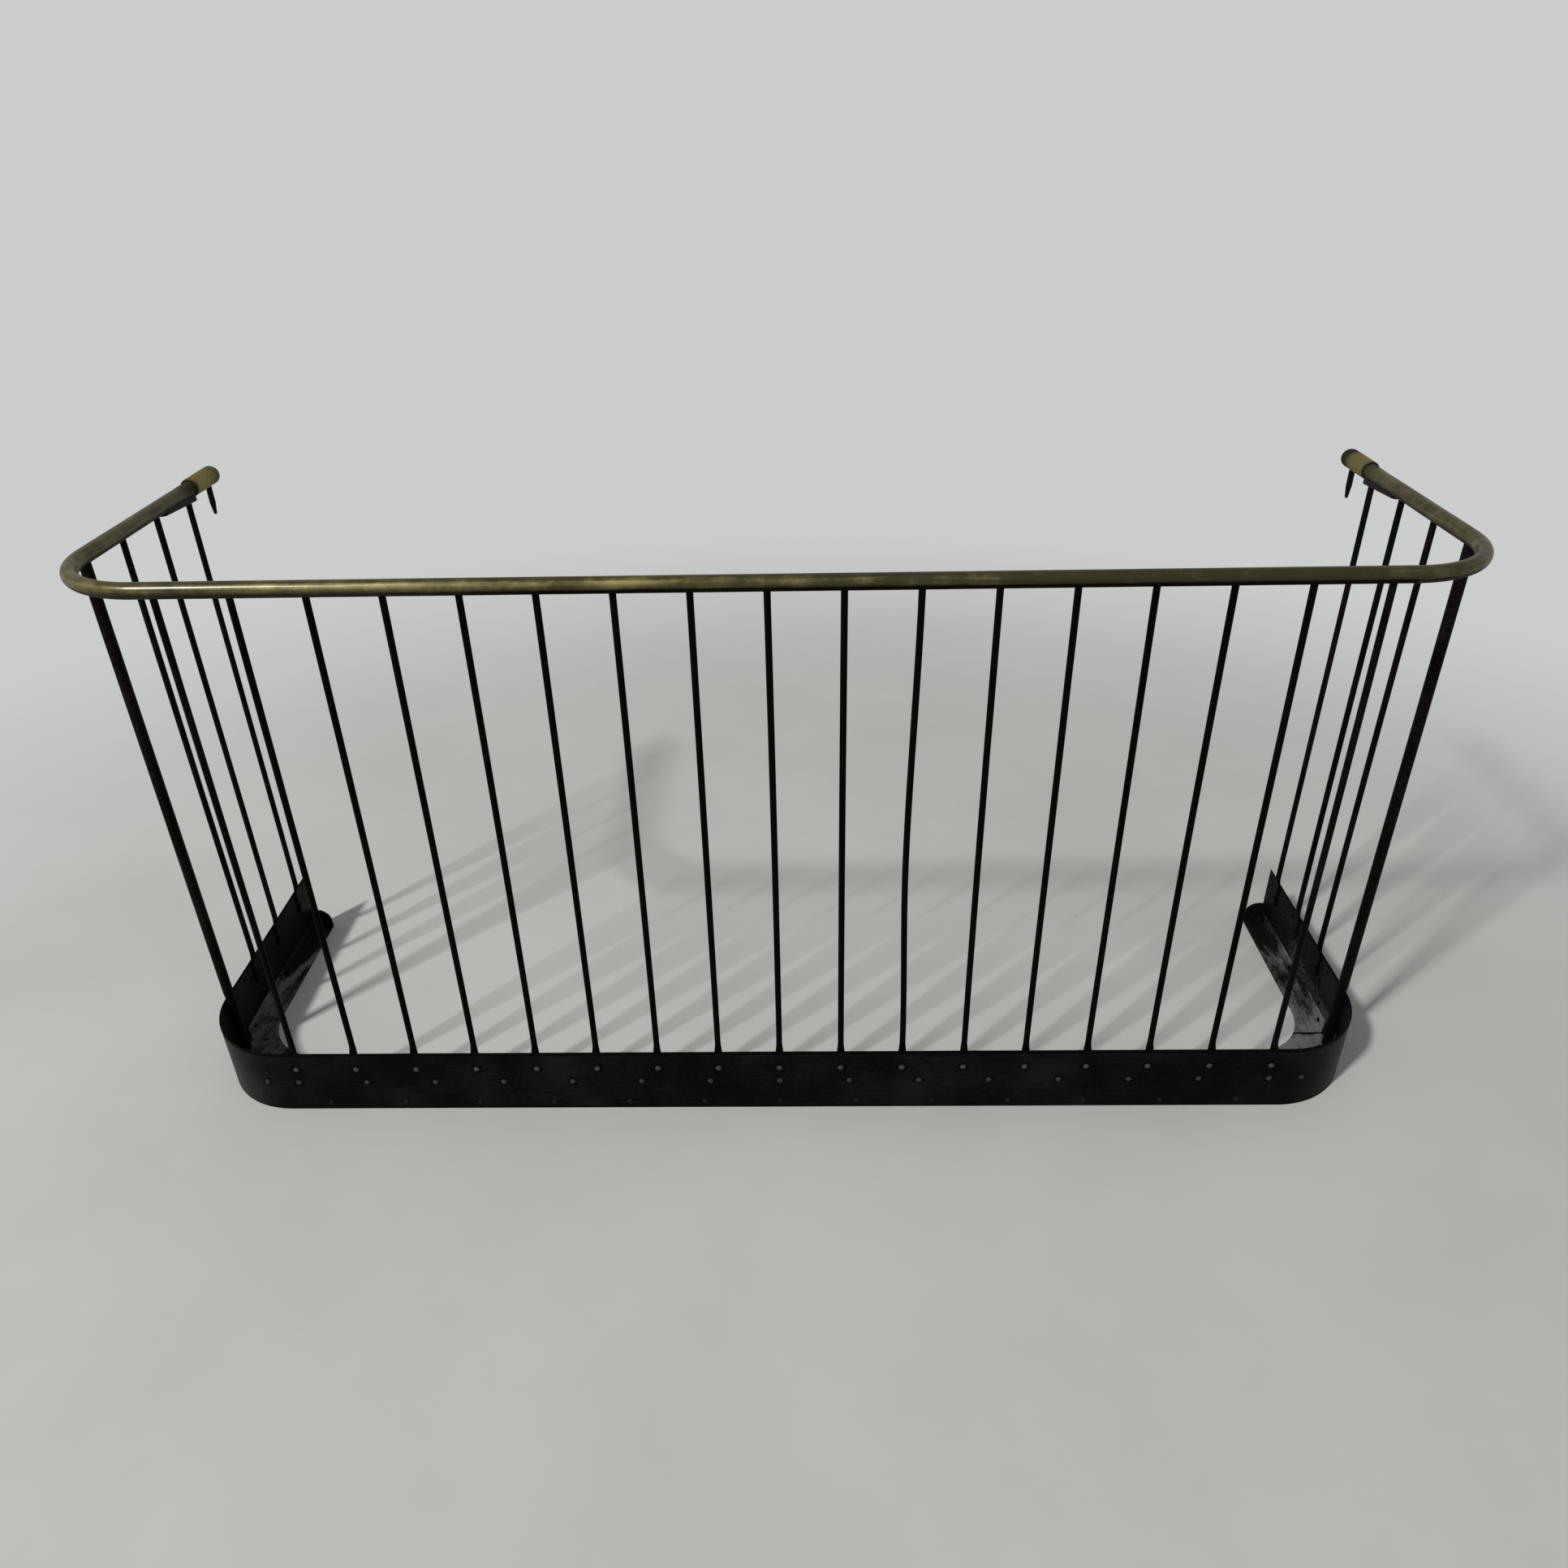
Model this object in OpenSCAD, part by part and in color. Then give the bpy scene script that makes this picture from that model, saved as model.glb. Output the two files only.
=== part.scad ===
// Fire fender: a tall three-sided guard that stands on the floor in front of a hearth.
// A brass tube with two bends is its top rail, thin iron rods are its fence and a sheet-iron kerb
// with rounded corners is its base. Millimetres, +X along the front, +Y towards the wall, +Z up.
// The origin is on the floor, under the middle of the front row of rods.

/* [Row of uprights] */
// Spacing of the front uprights, centre to centre
front_pitch = 82.5; // [74:0.5:100]
// Spacing of the side uprights, centre to centre, counted from the corner stay
side_pitch = 87; // [70:0.5:120]
// From the last front upright to the start of the bend
corner_run = 22; // [14:1:60]
// Radius of the bend, at the centre line of the rail
corner_r = 112; // [70:1:160]
// Diameter of an upright
rod_d = 8; // [7:0.5:9]
// Diameter of a corner stay
stay_d = 14; // [12:0.5:17]

/* [Feet of the uprights] */
// Width of the flattened foot of an upright
spade_w = 11; // [9:0.5:14]
// Thickness of the flattened foot
spade_t = 3; // [2:0.25:4]
// Height of the flattened foot, from its round end to the start of its neck
spade_h = 40; // [25:1:50]
// Height of the neck, where the foot turns into the round rod
neck_h = 14; // [8:1:24]
// Height of the neck's end above the kerb
neck_rise = 10.5; // [4:0.5:24]
// Width of the neck where it dies into the rod
neck_w = 3; // [2:0.5:5]
// Height of a corner stay's flat above the kerb
stay_flat_rise = 6; // [2:0.5:20]

/* [Top rail] */
// Height of the rail's centre line above the floor
rail_z = 763; // [450:1:1000]
// Outer diameter of the brass tube
rail_d = 19; // [17:0.5:24]
// Wall of the brass tube
rail_wall = 1.5; // [1:0.1:2]
// Width of the flat bar inside the tube
core_w = 10; // [8:0.5:11]
// Thickness of the flat bar inside the tube
core_t = 3; // [2:0.25:4]
// From the tube's rear end to the end of the flat bar
core_setback = 4; // [1:0.5:20]
// Diameter of the tenon on top of an upright
tenon_d = 5; // [4:0.25:6]
// Diameter of the head that closes a tenon, over the flat bar
tenon_head_d = 7; // [6.5:0.25:8]
// Height of that head
tenon_head_h = 1.2; // [0.8:0.1:1.8]

/* [Rail ends] */
// From the last side upright to the front edge of the cap
cap_lead = 13; // [9:0.5:40]
// Length of the cap
cap_len = 77; // [68:1:120]
// Outer diameter of the cap
cap_d = 25; // [24:0.5:32]
// Rounding of the cap's front edge
cap_edge_r = 1.5; // [0.5:0.25:2]
// Depth of the cap's socket, which takes the tube
socket_depth = 25; // [12:0.5:30]
// From the cap's round tip to the axis of the wall pin
pin_setback = 25; // [20:0.5:34]
// Diameter of the wall pin
pin_d = 8; // [6.5:0.5:10]
// Length of the wall pin below the cap
pin_len = 39.5; // [30:0.5:80]
// Length of the pin's tapered end
pin_taper = 15.5; // [6:0.5:25]
// Diameter of the pin's round tip
pin_tip_d = 4.5; // [3:0.5:6]
// Diameter of the pin's tenon in the cap
pin_tenon_d = 6; // [4:0.25:6]
// Depth of the pin's tenon in the cap, above the cap's lowest line
pin_tenon_h = 10; // [6:0.5:11]
// Margin of the flat seat that is cut into the cap, round the pin
pin_seat_margin = 2; // [1:0.5:4]

/* [Rail brackets] */
// From the second side upright to the nose of the bracket
bracket_lead = 12; // [8:0.5:20]
// Width of the bracket
bracket_w = 13; // [11:0.5:15]
// Thickness of the bracket below the tube, at its nose
bracket_nose = 2.5; // [2.2:0.1:5]
// Thickness of the bracket below the tube, at the cap
bracket_heel = 8; // [6:0.5:14]
// Rise of the bracket's sides above the lowest line of the tube
bracket_wrap = 2; // [1:0.25:2.5]
// From the bracket's nose to its first screw
screw_lead = 14; // [10:0.5:18]
// Diameter of the bracket screws
screw_d = 4; // [3:0.25:4.5]
// Diameter of their countersunk heads
screw_head_d = 7.5; // [6.5:0.25:8.5]
// Depth of their countersunk heads
screw_head_h = 1.8; // [1.2:0.1:2]

/* [Kerb] */
// Height of the kerb
kerb_h = 101.5; // [80:0.5:160]
// Thickness of the kerb's sheet
kerb_t = 1.6; // [1:0.1:2.5]
// From the last side upright to the rear edge of the kerb
kerb_tail = 40; // [20:1:90]
// From the end of the bend to the joint of the front and side sheets
joint_run = 20; // [18:0.5:30]
// Width of the flat strap inside the kerb
strap_w = 16; // [10:0.5:20]
// Thickness of the strap
strap_t = 3; // [2:0.25:4]
// Angle by which the strap goes on round each bend
strap_sweep = 18; // [14:1:40]
// Thickness of the joint plates
joint_plate_t = 2; // [1.5:0.25:3]
// Reach of a joint plate behind the side sheet
joint_lap = 41; // [30:1:55]
// From the kerb's top edge to the joint plates
joint_plate_drop = 2; // [1:0.5:8]

/* [Hearth plates] */
// Thickness of the floor plates
plate_t = 2.5; // [1.5:0.25:4]
// Depth of the front floor plate
front_plate_w = 99; // [60:1:110]
// Width of the side flanges
flange_w = 29; // [24:0.5:40]
// Radius of the front plate's inner corners
hearth_r = 90; // [50:1:95]
// Height of the legs that are riveted to the kerb
leg_h = 24; // [20:0.5:28]
// Height of the tabs turned up at the rear
tab_h = 35; // [25:0.5:60]
// Rounding of a tab's inner corner
tab_r = 22; // [4:1:24]

/* [Fasteners] */
// Diameter of a rivet
rivet_d = 4; // [3:0.25:5]
// Diameter of a rivet's domed head
rivet_head_d = 9; // [7:0.5:10]
// Height of a rivet's domed head
rivet_head_h = 3; // [1.5:0.25:3.5]
// Diameter of a rivet's closed end, inside the kerb
rivet_tail_d = 7; // [6:0.25:7.5]
// Height of a rivet's closed end
rivet_tail_h = 1.5; // [1:0.25:2]
// From the kerb's top edge to the row of upright rivets
upright_rivet_drop = 28; // [24:0.5:34]
// From the start of the bend to the last strap rivet on the straight
strap_rivet_inset = 20.5; // [10:0.5:60]
// Angle of the last strap rivet, round the bend
strap_rivet_angle = 11.5; // [8:0.5:12]
// Height of the row of plate rivets above the floor
plate_rivet_z = 12; // [10:0.5:15]
// From the start of the bend to the last plate rivet of the front
plate_rivet_inset = 58; // [20:1:100]
// From a side flange's ends to its outer rivets
flange_rivet_inset = 20; // [12:1:40]
// From a joint plate's edges to its rivets
joint_rivet_inset = 8; // [6:0.5:12]
// Height of a corner stay's lower rivet
stay_rivet_z = 34; // [28:1:50]

/* [Clearances] */
// Gap between a piece and the curved face that it is seated on
seat_gap = 0.1; // [0.05:0.05:0.3]
// Clearance of a hole round its rivet, tenon or screw, on the diameter
hole_gap = 0.2; // [0.1:0.05:0.4]
// Gap between pieces that meet end to end
joint_gap = 0.3; // [0.1:0.05:0.5]

/* [Hidden] */
$fn = 48;
// Each upright is a piece of its own, so these two counts are fixed
front_count = 17;
side_count = 3;
strap_rivet_count = 15;
plate_rivet_count = 13;
// Extra depth of a cut, so that it leaves no skin
through = 1;
// Length by which the tube's straight stretches run into its bends, to make it one piece
rail_weld = 0.02;

// Plan of the rail and the rods
run = (front_count - 1) / 2 * front_pitch + corner_run; // half of the front's straight
half_w = run + corner_r;                                // from the middle to a side's centre line
function front_x(i) = (i - (front_count + 1) / 2) * front_pitch;
function side_y(k) = corner_r + k * side_pitch;
last_y = side_y(side_count);

// Plan of the kerb, as distances out of the rods' centre line
kerb_in = rod_d / 2;
kerb_out = kerb_in + kerb_t;
joint_y = corner_r + joint_run;
kerb_end = last_y + kerb_tail;

// Heights in the kerb
neck_top = kerb_h + neck_rise;
neck_z = neck_top - neck_h;
spade_z = neck_z - spade_h;
upright_rivet_z = kerb_h - upright_rivet_drop;
strap_rivet_z = spade_z - strap_w / 2;
joint_plate_top = kerb_h - joint_plate_drop;
joint_plate_z = leg_h + through;

// Rail
rail_in = rail_d - 2 * rail_wall;
core_bottom = rail_z - sqrt(pow(rail_in / 2, 2) - pow(core_w / 2, 2)) + seat_gap;
core_top = core_bottom + core_t;
cap_front = last_y + cap_lead;
cap_tip = cap_front + cap_len;
tube_end = cap_front + socket_depth;
cap_bottom = rail_z - cap_d / 2;
pin_y = cap_tip - pin_setback;
// The flat seat is as deep as the pin needs to bear on it with its whole width
pin_seat_z = rail_z - sqrt(pow(cap_d / 2, 2) - pow(pin_d / 2, 2));

// Rail brackets
bracket_front = side_y(2) + bracket_lead;
bracket_back = cap_front - joint_gap;
rail_bottom = rail_z - rail_d / 2;
screw_y1 = bracket_front + screw_lead;
screw_y2 = (screw_y1 + last_y) / 2;
function bracket_z(y) = rail_bottom - bracket_nose
    - (bracket_heel - bracket_nose) * (y - bracket_front) / (bracket_back - bracket_front);

// Hearth plates
plate_out = kerb_in - seat_gap;
flange_x = half_w + kerb_in - flange_w;
hearth_front = front_plate_w - kerb_in;
hearth_x = flange_x - hearth_r;
flange_start = joint_y + joint_gap;

// Corner stays
stay_seat = rod_d / 2 - 1.5 * seat_gap;
stay_flat_top = kerb_h + stay_flat_rise;

// Rivets
rivet_hole = rivet_d + hole_gap;
strap_rivet_pitch = 2 * (run - strap_rivet_inset) / (strap_rivet_count - 1);
plate_rivet_pitch = 2 * (run - plate_rivet_inset) / (plate_rivet_count - 1);
flange_rivets = [
    flange_start + flange_rivet_inset,
    (flange_start + kerb_end) / 2,
    kerb_end - flange_rivet_inset
];
joint_front = corner_r + stay_d / 2 + 2;
joint_back = joint_y + joint_lap;
joint_rivets_y = [(joint_front + joint_y) / 2, joint_back - joint_rivet_inset];
joint_rivets_z = [joint_plate_z + joint_rivet_inset, joint_plate_top - joint_rivet_inset];

function two_digits(i) = i < 10 ? str("0", i) : str(i);
function front_name(i) = str("front_upright_", two_digits(i));
function side_name(side, k) = str(side < 0 ? "left" : "right", "_upright_", k);

// ---------------------------------------------------------------- helpers

// The right-hand shape for side 1, and its mirror image for side -1
module on_side(side) {
    mirror([side < 0 ? 1 : 0, 0, 0]) children();
}

// Carries a flat section along the fender's plan: x of the section points out of the plan and y
// points up. The two sides go back to y_end, or are left off where y_end is 0. The straight
// stretches run into the bends by the length of the weld.
module along_plan(y_end, sweep = 90, weld = 0) {
    translate([-run - weld, 0, 0]) rotate([90, 0, 90])
        linear_extrude(2 * (run + weld)) mirror([1, 0]) children();
    for (side = [-1, 1]) on_side(side) {
        translate([run, corner_r, 0]) rotate([0, 0, -90])
            rotate_extrude(angle = sweep) translate([corner_r, 0]) children();
        if (y_end > corner_r)
            translate([half_w, y_end, 0]) rotate([90, 0, 0])
                linear_extrude(y_end - corner_r + weld) children();
    }
}

// Places a shape whose outside faces -Y at each upright's place
module at_front(i) {
    translate([front_x(i), 0, 0]) children();
}

module at_side(side, y) {
    translate([side * half_w, y, 0]) rotate([0, 0, side * 90]) children();
}

module at_all_uprights() {
    for (i = [1 : front_count]) at_front(i) children();
    for (side = [-1, 1], k = [1 : side_count]) at_side(side, side_y(k)) children();
}

// Places a shape on the kerb's bend, turned by an angle from the front
module at_bend(side, angle) {
    on_side(side) translate([run, corner_r, 0]) rotate([0, 0, angle])
        translate([0, -corner_r, 0]) children();
}

// A round rod along Y at a height, for a hole or a shank
module across(d, y0, y1, z) {
    translate([0, y1, z]) rotate([90, 0, 0]) cylinder(d = d, h = y1 - y0);
}

// A rivet at the height z: its domed head lies on the kerb's outside and its closed end on the
// back of what it holds, at the depth `back`
module rivet(z, back) {
    dome_r = (pow(rivet_head_d / 2, 2) + pow(rivet_head_h, 2)) / (2 * rivet_head_h);
    translate([0, -kerb_out, z]) rotate([90, 0, 0]) rotate_extrude() intersection() {
        translate([0, rivet_head_h - dome_r]) circle(r = dome_r);
        square([rivet_head_d, rivet_head_h]);
    }
    across(rivet_d, -kerb_out, back, z);
    across(rivet_tail_d, back, back + rivet_tail_h, z);
}

// Hole for a rivet, through all that it holds
module rivet_bore(z) {
    across(rivet_hole, -kerb_out - through, through * 2, z);
}

// ---------------------------------------------------------------- top rail

module top_rail() {
    color("darkgoldenrod") difference() {
        along_plan(tube_end, weld = rail_weld) translate([0, rail_z]) circle(d = rail_d);
        along_plan(tube_end + through, weld = rail_weld) translate([0, rail_z]) circle(d = rail_in);
        at_all_uprights() rail_hole(tenon_d + hole_gap);
        for (side = [-1, 1]) {
            at_side(side, corner_r) rail_hole(tenon_d + hole_gap);
            for (y = [screw_y1, screw_y2]) at_side(side, y) rail_hole(screw_d + hole_gap);
        }
    }
}

// Hole through the underside of the tube and through the flat bar
module rail_hole(d) {
    translate([0, 0, rail_bottom - through]) cylinder(d = d, h = rail_d / 2 + through);
}

module rail_core_bar() {
    color("dimgray") difference() {
        along_plan(tube_end - core_setback)
            translate([-core_w / 2, core_bottom]) square([core_w, core_t]);
        at_all_uprights() rail_hole(tenon_d + hole_gap);
        for (side = [-1, 1]) {
            at_side(side, corner_r) rail_hole(tenon_d + hole_gap);
            for (y = [screw_y1, screw_y2]) at_side(side, y) rail_hole(screw_d + hole_gap);
        }
    }
}

// Half of the cap's outline: x is the radius, y runs from the front edge to the round tip
module cap_outline() {
    r = cap_d / 2;
    shoulder = cap_len - r;
    translate([0, cap_edge_r]) square([r, shoulder - cap_edge_r]);
    square([r - cap_edge_r, cap_edge_r]);
    intersection() {
        translate([r - cap_edge_r, cap_edge_r]) circle(r = cap_edge_r);
        translate([r - cap_edge_r, 0]) square(cap_edge_r);
    }
    translate([0, shoulder]) intersection() {
        circle(r = r);
        square(r);
    }
}

module rail_cap(side) {
    color("goldenrod") on_side(side) difference() {
        translate([half_w, cap_front, rail_z]) rotate([-90, 0, 0]) rotate_extrude() cap_outline();
        translate([half_w, cap_front - through, rail_z]) rotate([-90, 0, 0])
            cylinder(d = rail_d + 2 * seat_gap, h = socket_depth + through + seat_gap);
        translate([half_w, pin_y, cap_bottom - through]) {
            cylinder(d = pin_d + 2 * pin_seat_margin, h = pin_seat_z - cap_bottom + through);
            cylinder(d = pin_tenon_d + seat_gap, h = pin_tenon_h + through + seat_gap);
        }
    }
}

module wall_pin(side) {
    tip = cap_bottom - pin_len;
    shoulder = tip + pin_taper;
    color("black") on_side(side) translate([half_w, pin_y, 0]) {
        translate([0, 0, shoulder]) cylinder(d = pin_d, h = pin_seat_z - shoulder);
        translate([0, 0, shoulder]) cylinder(d = pin_tenon_d, h = cap_bottom + pin_tenon_h - shoulder);
        translate([0, 0, tip + pin_tip_d / 2])
            cylinder(d1 = pin_tip_d, d2 = pin_d, h = pin_taper - pin_tip_d / 2);
        translate([0, 0, tip + pin_tip_d / 2]) sphere(d = pin_tip_d);
    }
}

// Cut for a bracket screw: its shank, its countersink and the way in for its head
module screw_cut(y) {
    z = bracket_z(y);
    slack = hole_gap;
    translate([half_w, y, z]) {
        cylinder(d = screw_d + slack, h = rail_d / 2);
        cylinder(d1 = screw_head_d + slack, d2 = screw_d + slack, h = screw_head_h + slack);
        translate([0, 0, -through]) cylinder(d = screw_head_d + slack, h = through);
    }
}

module rail_bracket(side) {
    top = rail_bottom + bracket_wrap;
    color("saddlebrown") on_side(side) difference() {
        translate([half_w - bracket_w / 2, 0, 0]) rotate([90, 0, 90]) linear_extrude(bracket_w)
            polygon([
                [bracket_front, bracket_z(bracket_front)],
                [bracket_back, bracket_z(bracket_back)],
                [bracket_back, top],
                [bracket_front, top]
            ]);
        translate([half_w, bracket_back + through, rail_z]) rotate([90, 0, 0])
            cylinder(d = rail_d + 2 * seat_gap, h = bracket_back - bracket_front + 2 * through);
        translate([half_w, last_y, rail_bottom - 2 * bracket_heel])
            cylinder(d = rod_d + hole_gap, h = rail_d + 2 * bracket_heel);
        for (y = [screw_y1, screw_y2]) screw_cut(y);
    }
}

module bracket_screws() {
    tip = core_top + through / 2;
    color("saddlebrown") for (side = [-1, 1], y = [screw_y1, screw_y2]) {
        foot = bracket_z(y) + hole_gap;
        on_side(side) translate([half_w, y, foot]) {
            cylinder(d1 = screw_head_d, d2 = screw_d, h = screw_head_h);
            cylinder(d = screw_d, h = tip - foot);
        }
    }
}

// ---------------------------------------------------------------- uprights

// Tenon through the tube and the flat bar, and the head that closes it
module tenon() {
    neck = rail_bottom - 2 * through;
    translate([0, 0, neck]) cylinder(d = tenon_d, h = core_top - neck);
    translate([0, 0, core_top]) cylinder(d = tenon_head_d, h = tenon_head_h);
}

// Outline of an upright's foot, seen from the front
module spade_outline() {
    r = spade_w / 2;
    translate([0, spade_z + r]) difference() {
        circle(r = r);
        translate([-spade_w, 0]) square([2 * spade_w, spade_w]);
    }
    polygon([
        [-r, spade_z + r],
        [r, spade_z + r],
        [r, neck_z],
        [neck_w / 2, neck_top],
        [-neck_w / 2, neck_top],
        [-r, neck_z]
    ]);
}

// An upright at the origin, with its foot's flat face towards -Y
module upright() {
    r = rod_d / 2;
    face = spade_t - r;
    color("black") {
        difference() {
            union() {
                difference() {
                    translate([0, 0, neck_z]) cylinder(r = r, h = rail_z - neck_z);
                    translate([-rod_d, 0, 0]) rotate([90, 0, 90]) linear_extrude(2 * rod_d)
                        polygon([
                            [face, neck_z - through],
                            [face, neck_z],
                            [r, neck_top],
                            [rod_d, neck_top],
                            [rod_d, neck_z - through]
                        ]);
                }
                translate([0, face, 0]) rotate([90, 0, 0]) linear_extrude(spade_t) spade_outline();
            }
            translate([0, 0, rail_z]) rotate([0, 90, 0])
                cylinder(d = rail_d + 2 * seat_gap, h = 2 * rod_d, center = true);
            rivet_bore(upright_rivet_z);
        }
        tenon();
    }
}

// A corner stay: a thick rod from the floor plate to the rail, flat where it meets the kerb
module corner_stay(side) {
    reach = stay_d + kerb_out;
    color("black") at_side(side, corner_r) {
        difference() {
            translate([0, 0, plate_t]) cylinder(d = stay_d, h = rail_z - plate_t);
            translate([-stay_d, -stay_seat - stay_d, 0]) cube([2 * stay_d, stay_d, stay_flat_top]);
            translate([0, 0, rail_z]) rotate([0, 90, 0])
                cylinder(d = rail_d + 4 * seat_gap, h = 2 * stay_d, center = true);
            for (z = [stay_rivet_z, upright_rivet_z])
                across(rivet_hole, -reach, reach, z);
        }
        tenon();
    }
}

// ---------------------------------------------------------------- kerb

module kerb_front() {
    color("dimgray") difference() {
        along_plan(joint_y) translate([kerb_in, 0]) square([kerb_t, kerb_h]);
        for (i = [1 : front_count]) at_front(i) rivet_bore(upright_rivet_z);
        at_strap_rivets() rivet_bore(strap_rivet_z);
        at_plate_rivets() rivet_bore(plate_rivet_z);
        for (side = [-1, 1]) {
            for (z = joint_rivets_z) at_side(side, joint_rivets_y[0]) rivet_bore(z);
            for (z = [stay_rivet_z, upright_rivet_z]) at_side(side, corner_r) rivet_bore(z);
        }
    }
}

module kerb_side(side) {
    color("dimgray") difference() {
        on_side(side) translate([half_w + kerb_in, flange_start, 0])
            cube([kerb_t, kerb_end - flange_start, kerb_h]);
        for (k = [1 : side_count]) at_side(side, side_y(k)) rivet_bore(upright_rivet_z);
        for (z = joint_rivets_z) at_side(side, joint_rivets_y[1]) rivet_bore(z);
        for (y = flange_rivets) at_side(side, y) rivet_bore(plate_rivet_z);
    }
}

module at_strap_rivets() {
    for (i = [0 : strap_rivet_count - 1])
        translate([(i - (strap_rivet_count - 1) / 2) * strap_rivet_pitch, 0, 0]) children();
    for (side = [-1, 1]) at_bend(side, strap_rivet_angle) children();
}

module at_plate_rivets() {
    for (i = [0 : plate_rivet_count - 1])
        translate([(i - (plate_rivet_count - 1) / 2) * plate_rivet_pitch, 0, 0]) children();
}

module kerb_strap() {
    color("black") difference() {
        along_plan(0, strap_sweep)
            translate([plate_out - strap_t, spade_z - strap_w]) square([strap_t, strap_w]);
        at_strap_rivets() rivet_bore(strap_rivet_z);
    }
}

module joint_plate(side) {
    color("black") difference() {
        on_side(side) translate([half_w + kerb_in - joint_plate_t, joint_front, joint_plate_z])
            cube([joint_plate_t, joint_back - joint_front, joint_plate_top - joint_plate_z]);
        for (y = joint_rivets_y, z = joint_rivets_z) at_side(side, y) rivet_bore(z);
    }
}

// ---------------------------------------------------------------- hearth plates

// The front floor plate, before its hearth opening is cut: straight middle, two quarter discs
// under the bends and two short sides
module front_plate_blank() {
    translate([-run, -plate_out, 0]) cube([2 * run, joint_y + plate_out, plate_t]);
    for (side = [-1, 1]) on_side(side) translate([run, corner_r, 0]) {
        rotate([0, 0, -90]) rotate_extrude(angle = 90) square([corner_r + plate_out, plate_t]);
        cube([corner_r + plate_out, joint_run, plate_t]);
    }
}

// The space left free on the floor between the plates, with its two rounded corners
module hearth_opening() {
    height = plate_t + 2 * through;
    side_start = hearth_front + hearth_r;
    translate([-hearth_x, hearth_front, -through]) cube([2 * hearth_x, kerb_end, height]);
    for (side = [-1, 1]) on_side(side) translate([hearth_x, side_start, -through]) {
        rotate([0, 0, -90]) rotate_extrude(angle = 90) square([hearth_r, height]);
        cube([hearth_r, kerb_end, height]);
    }
}

module hearth_plate_front() {
    color("black") difference() {
        union() {
            front_plate_blank();
            translate([-run, -kerb_in, 0]) cube([2 * run, plate_t, leg_h]);
        }
        hearth_opening();
        at_plate_rivets() rivet_bore(plate_rivet_z);
    }
}

// Outline of the tab at a flange's rear end, seen from the front, with its inner corner rounded
module tab_outline() {
    square([flange_w, tab_h - tab_r]);
    translate([tab_r, tab_h - tab_r]) {
        square([flange_w - tab_r, tab_r]);
        intersection() {
            circle(r = tab_r);
            translate([-tab_r, 0]) square(tab_r);
        }
    }
}

module hearth_flange(side) {
    length = kerb_end - flange_start;
    color("black") difference() {
        on_side(side) {
            difference() {
                translate([hearth_x, flange_start, 0])
                    cube([hearth_r + flange_w, length, plate_t]);
                hearth_opening();
            }
            translate([flange_x + flange_w - plate_t, flange_start, 0])
                cube([plate_t, length, leg_h]);
            translate([flange_x, kerb_end, 0]) rotate([90, 0, 0])
                linear_extrude(plate_t) tab_outline();
        }
        for (y = flange_rivets) at_side(side, y) rivet_bore(plate_rivet_z);
    }
}

// ---------------------------------------------------------------- fasteners

module upright_rivets() {
    color("dimgray") at_all_uprights() rivet(upright_rivet_z, spade_t - kerb_in);
}

module strap_rivets() {
    color("dimgray") at_strap_rivets() rivet(strap_rivet_z, strap_t - plate_out);
}

module plate_rivets() {
    color("dimgray") {
        at_plate_rivets() rivet(plate_rivet_z, plate_t - kerb_in);
        for (side = [-1, 1], y = flange_rivets)
            at_side(side, y) rivet(plate_rivet_z, plate_t - kerb_in);
    }
}

module joint_rivets() {
    color("dimgray") for (side = [-1, 1], y = joint_rivets_y, z = joint_rivets_z)
        at_side(side, y) rivet(z, joint_plate_t - kerb_in);
}

// The stays' rivets have no tail: their ends are flush with the back of the stay
module stay_rivets() {
    back = sqrt(pow(stay_d / 2, 2) - pow(rivet_d / 2, 2));
    color("dimgray") for (side = [-1, 1], z = [stay_rivet_z, upright_rivet_z])
        at_side(side, corner_r) intersection() {
            rivet(z, stay_d);
            translate([-stay_d, -stay_d, 0]) cube([2 * stay_d, stay_d + back, kerb_h]);
        }
}

// ---------------------------------------------------------------- nodes

top_rail();
rail_core_bar();
rail_cap(-1);  // rail_cap_left
rail_cap(1);  // rail_cap_right
wall_pin(-1);  // wall_pin_left
wall_pin(1);  // wall_pin_right
rail_bracket(-1);  // rail_bracket_left
rail_bracket(1);  // rail_bracket_right
for (i = [1 : front_count])
    at_front(i) upright();
for (side = [-1, 1], k = [1 : side_count])
    at_side(side, side_y(k)) upright();
corner_stay(-1);  // corner_stay_left
corner_stay(1);  // corner_stay_right
kerb_front();
kerb_side(-1);  // kerb_left
kerb_side(1);  // kerb_right
kerb_strap();
joint_plate(-1);  // joint_plate_left
joint_plate(1);  // joint_plate_right
hearth_plate_front();
hearth_flange(-1);  // hearth_flange_left
hearth_flange(1);  // hearth_flange_right
upright_rivets();
strap_rivets();
plate_rivets();
joint_rivets();
stay_rivets();
bracket_screws();
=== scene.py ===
import logging
import math
from dataclasses import dataclass
from enum import Enum

import bmesh
import bpy
import numpy as np
from mathutils import Matrix, Vector


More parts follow.
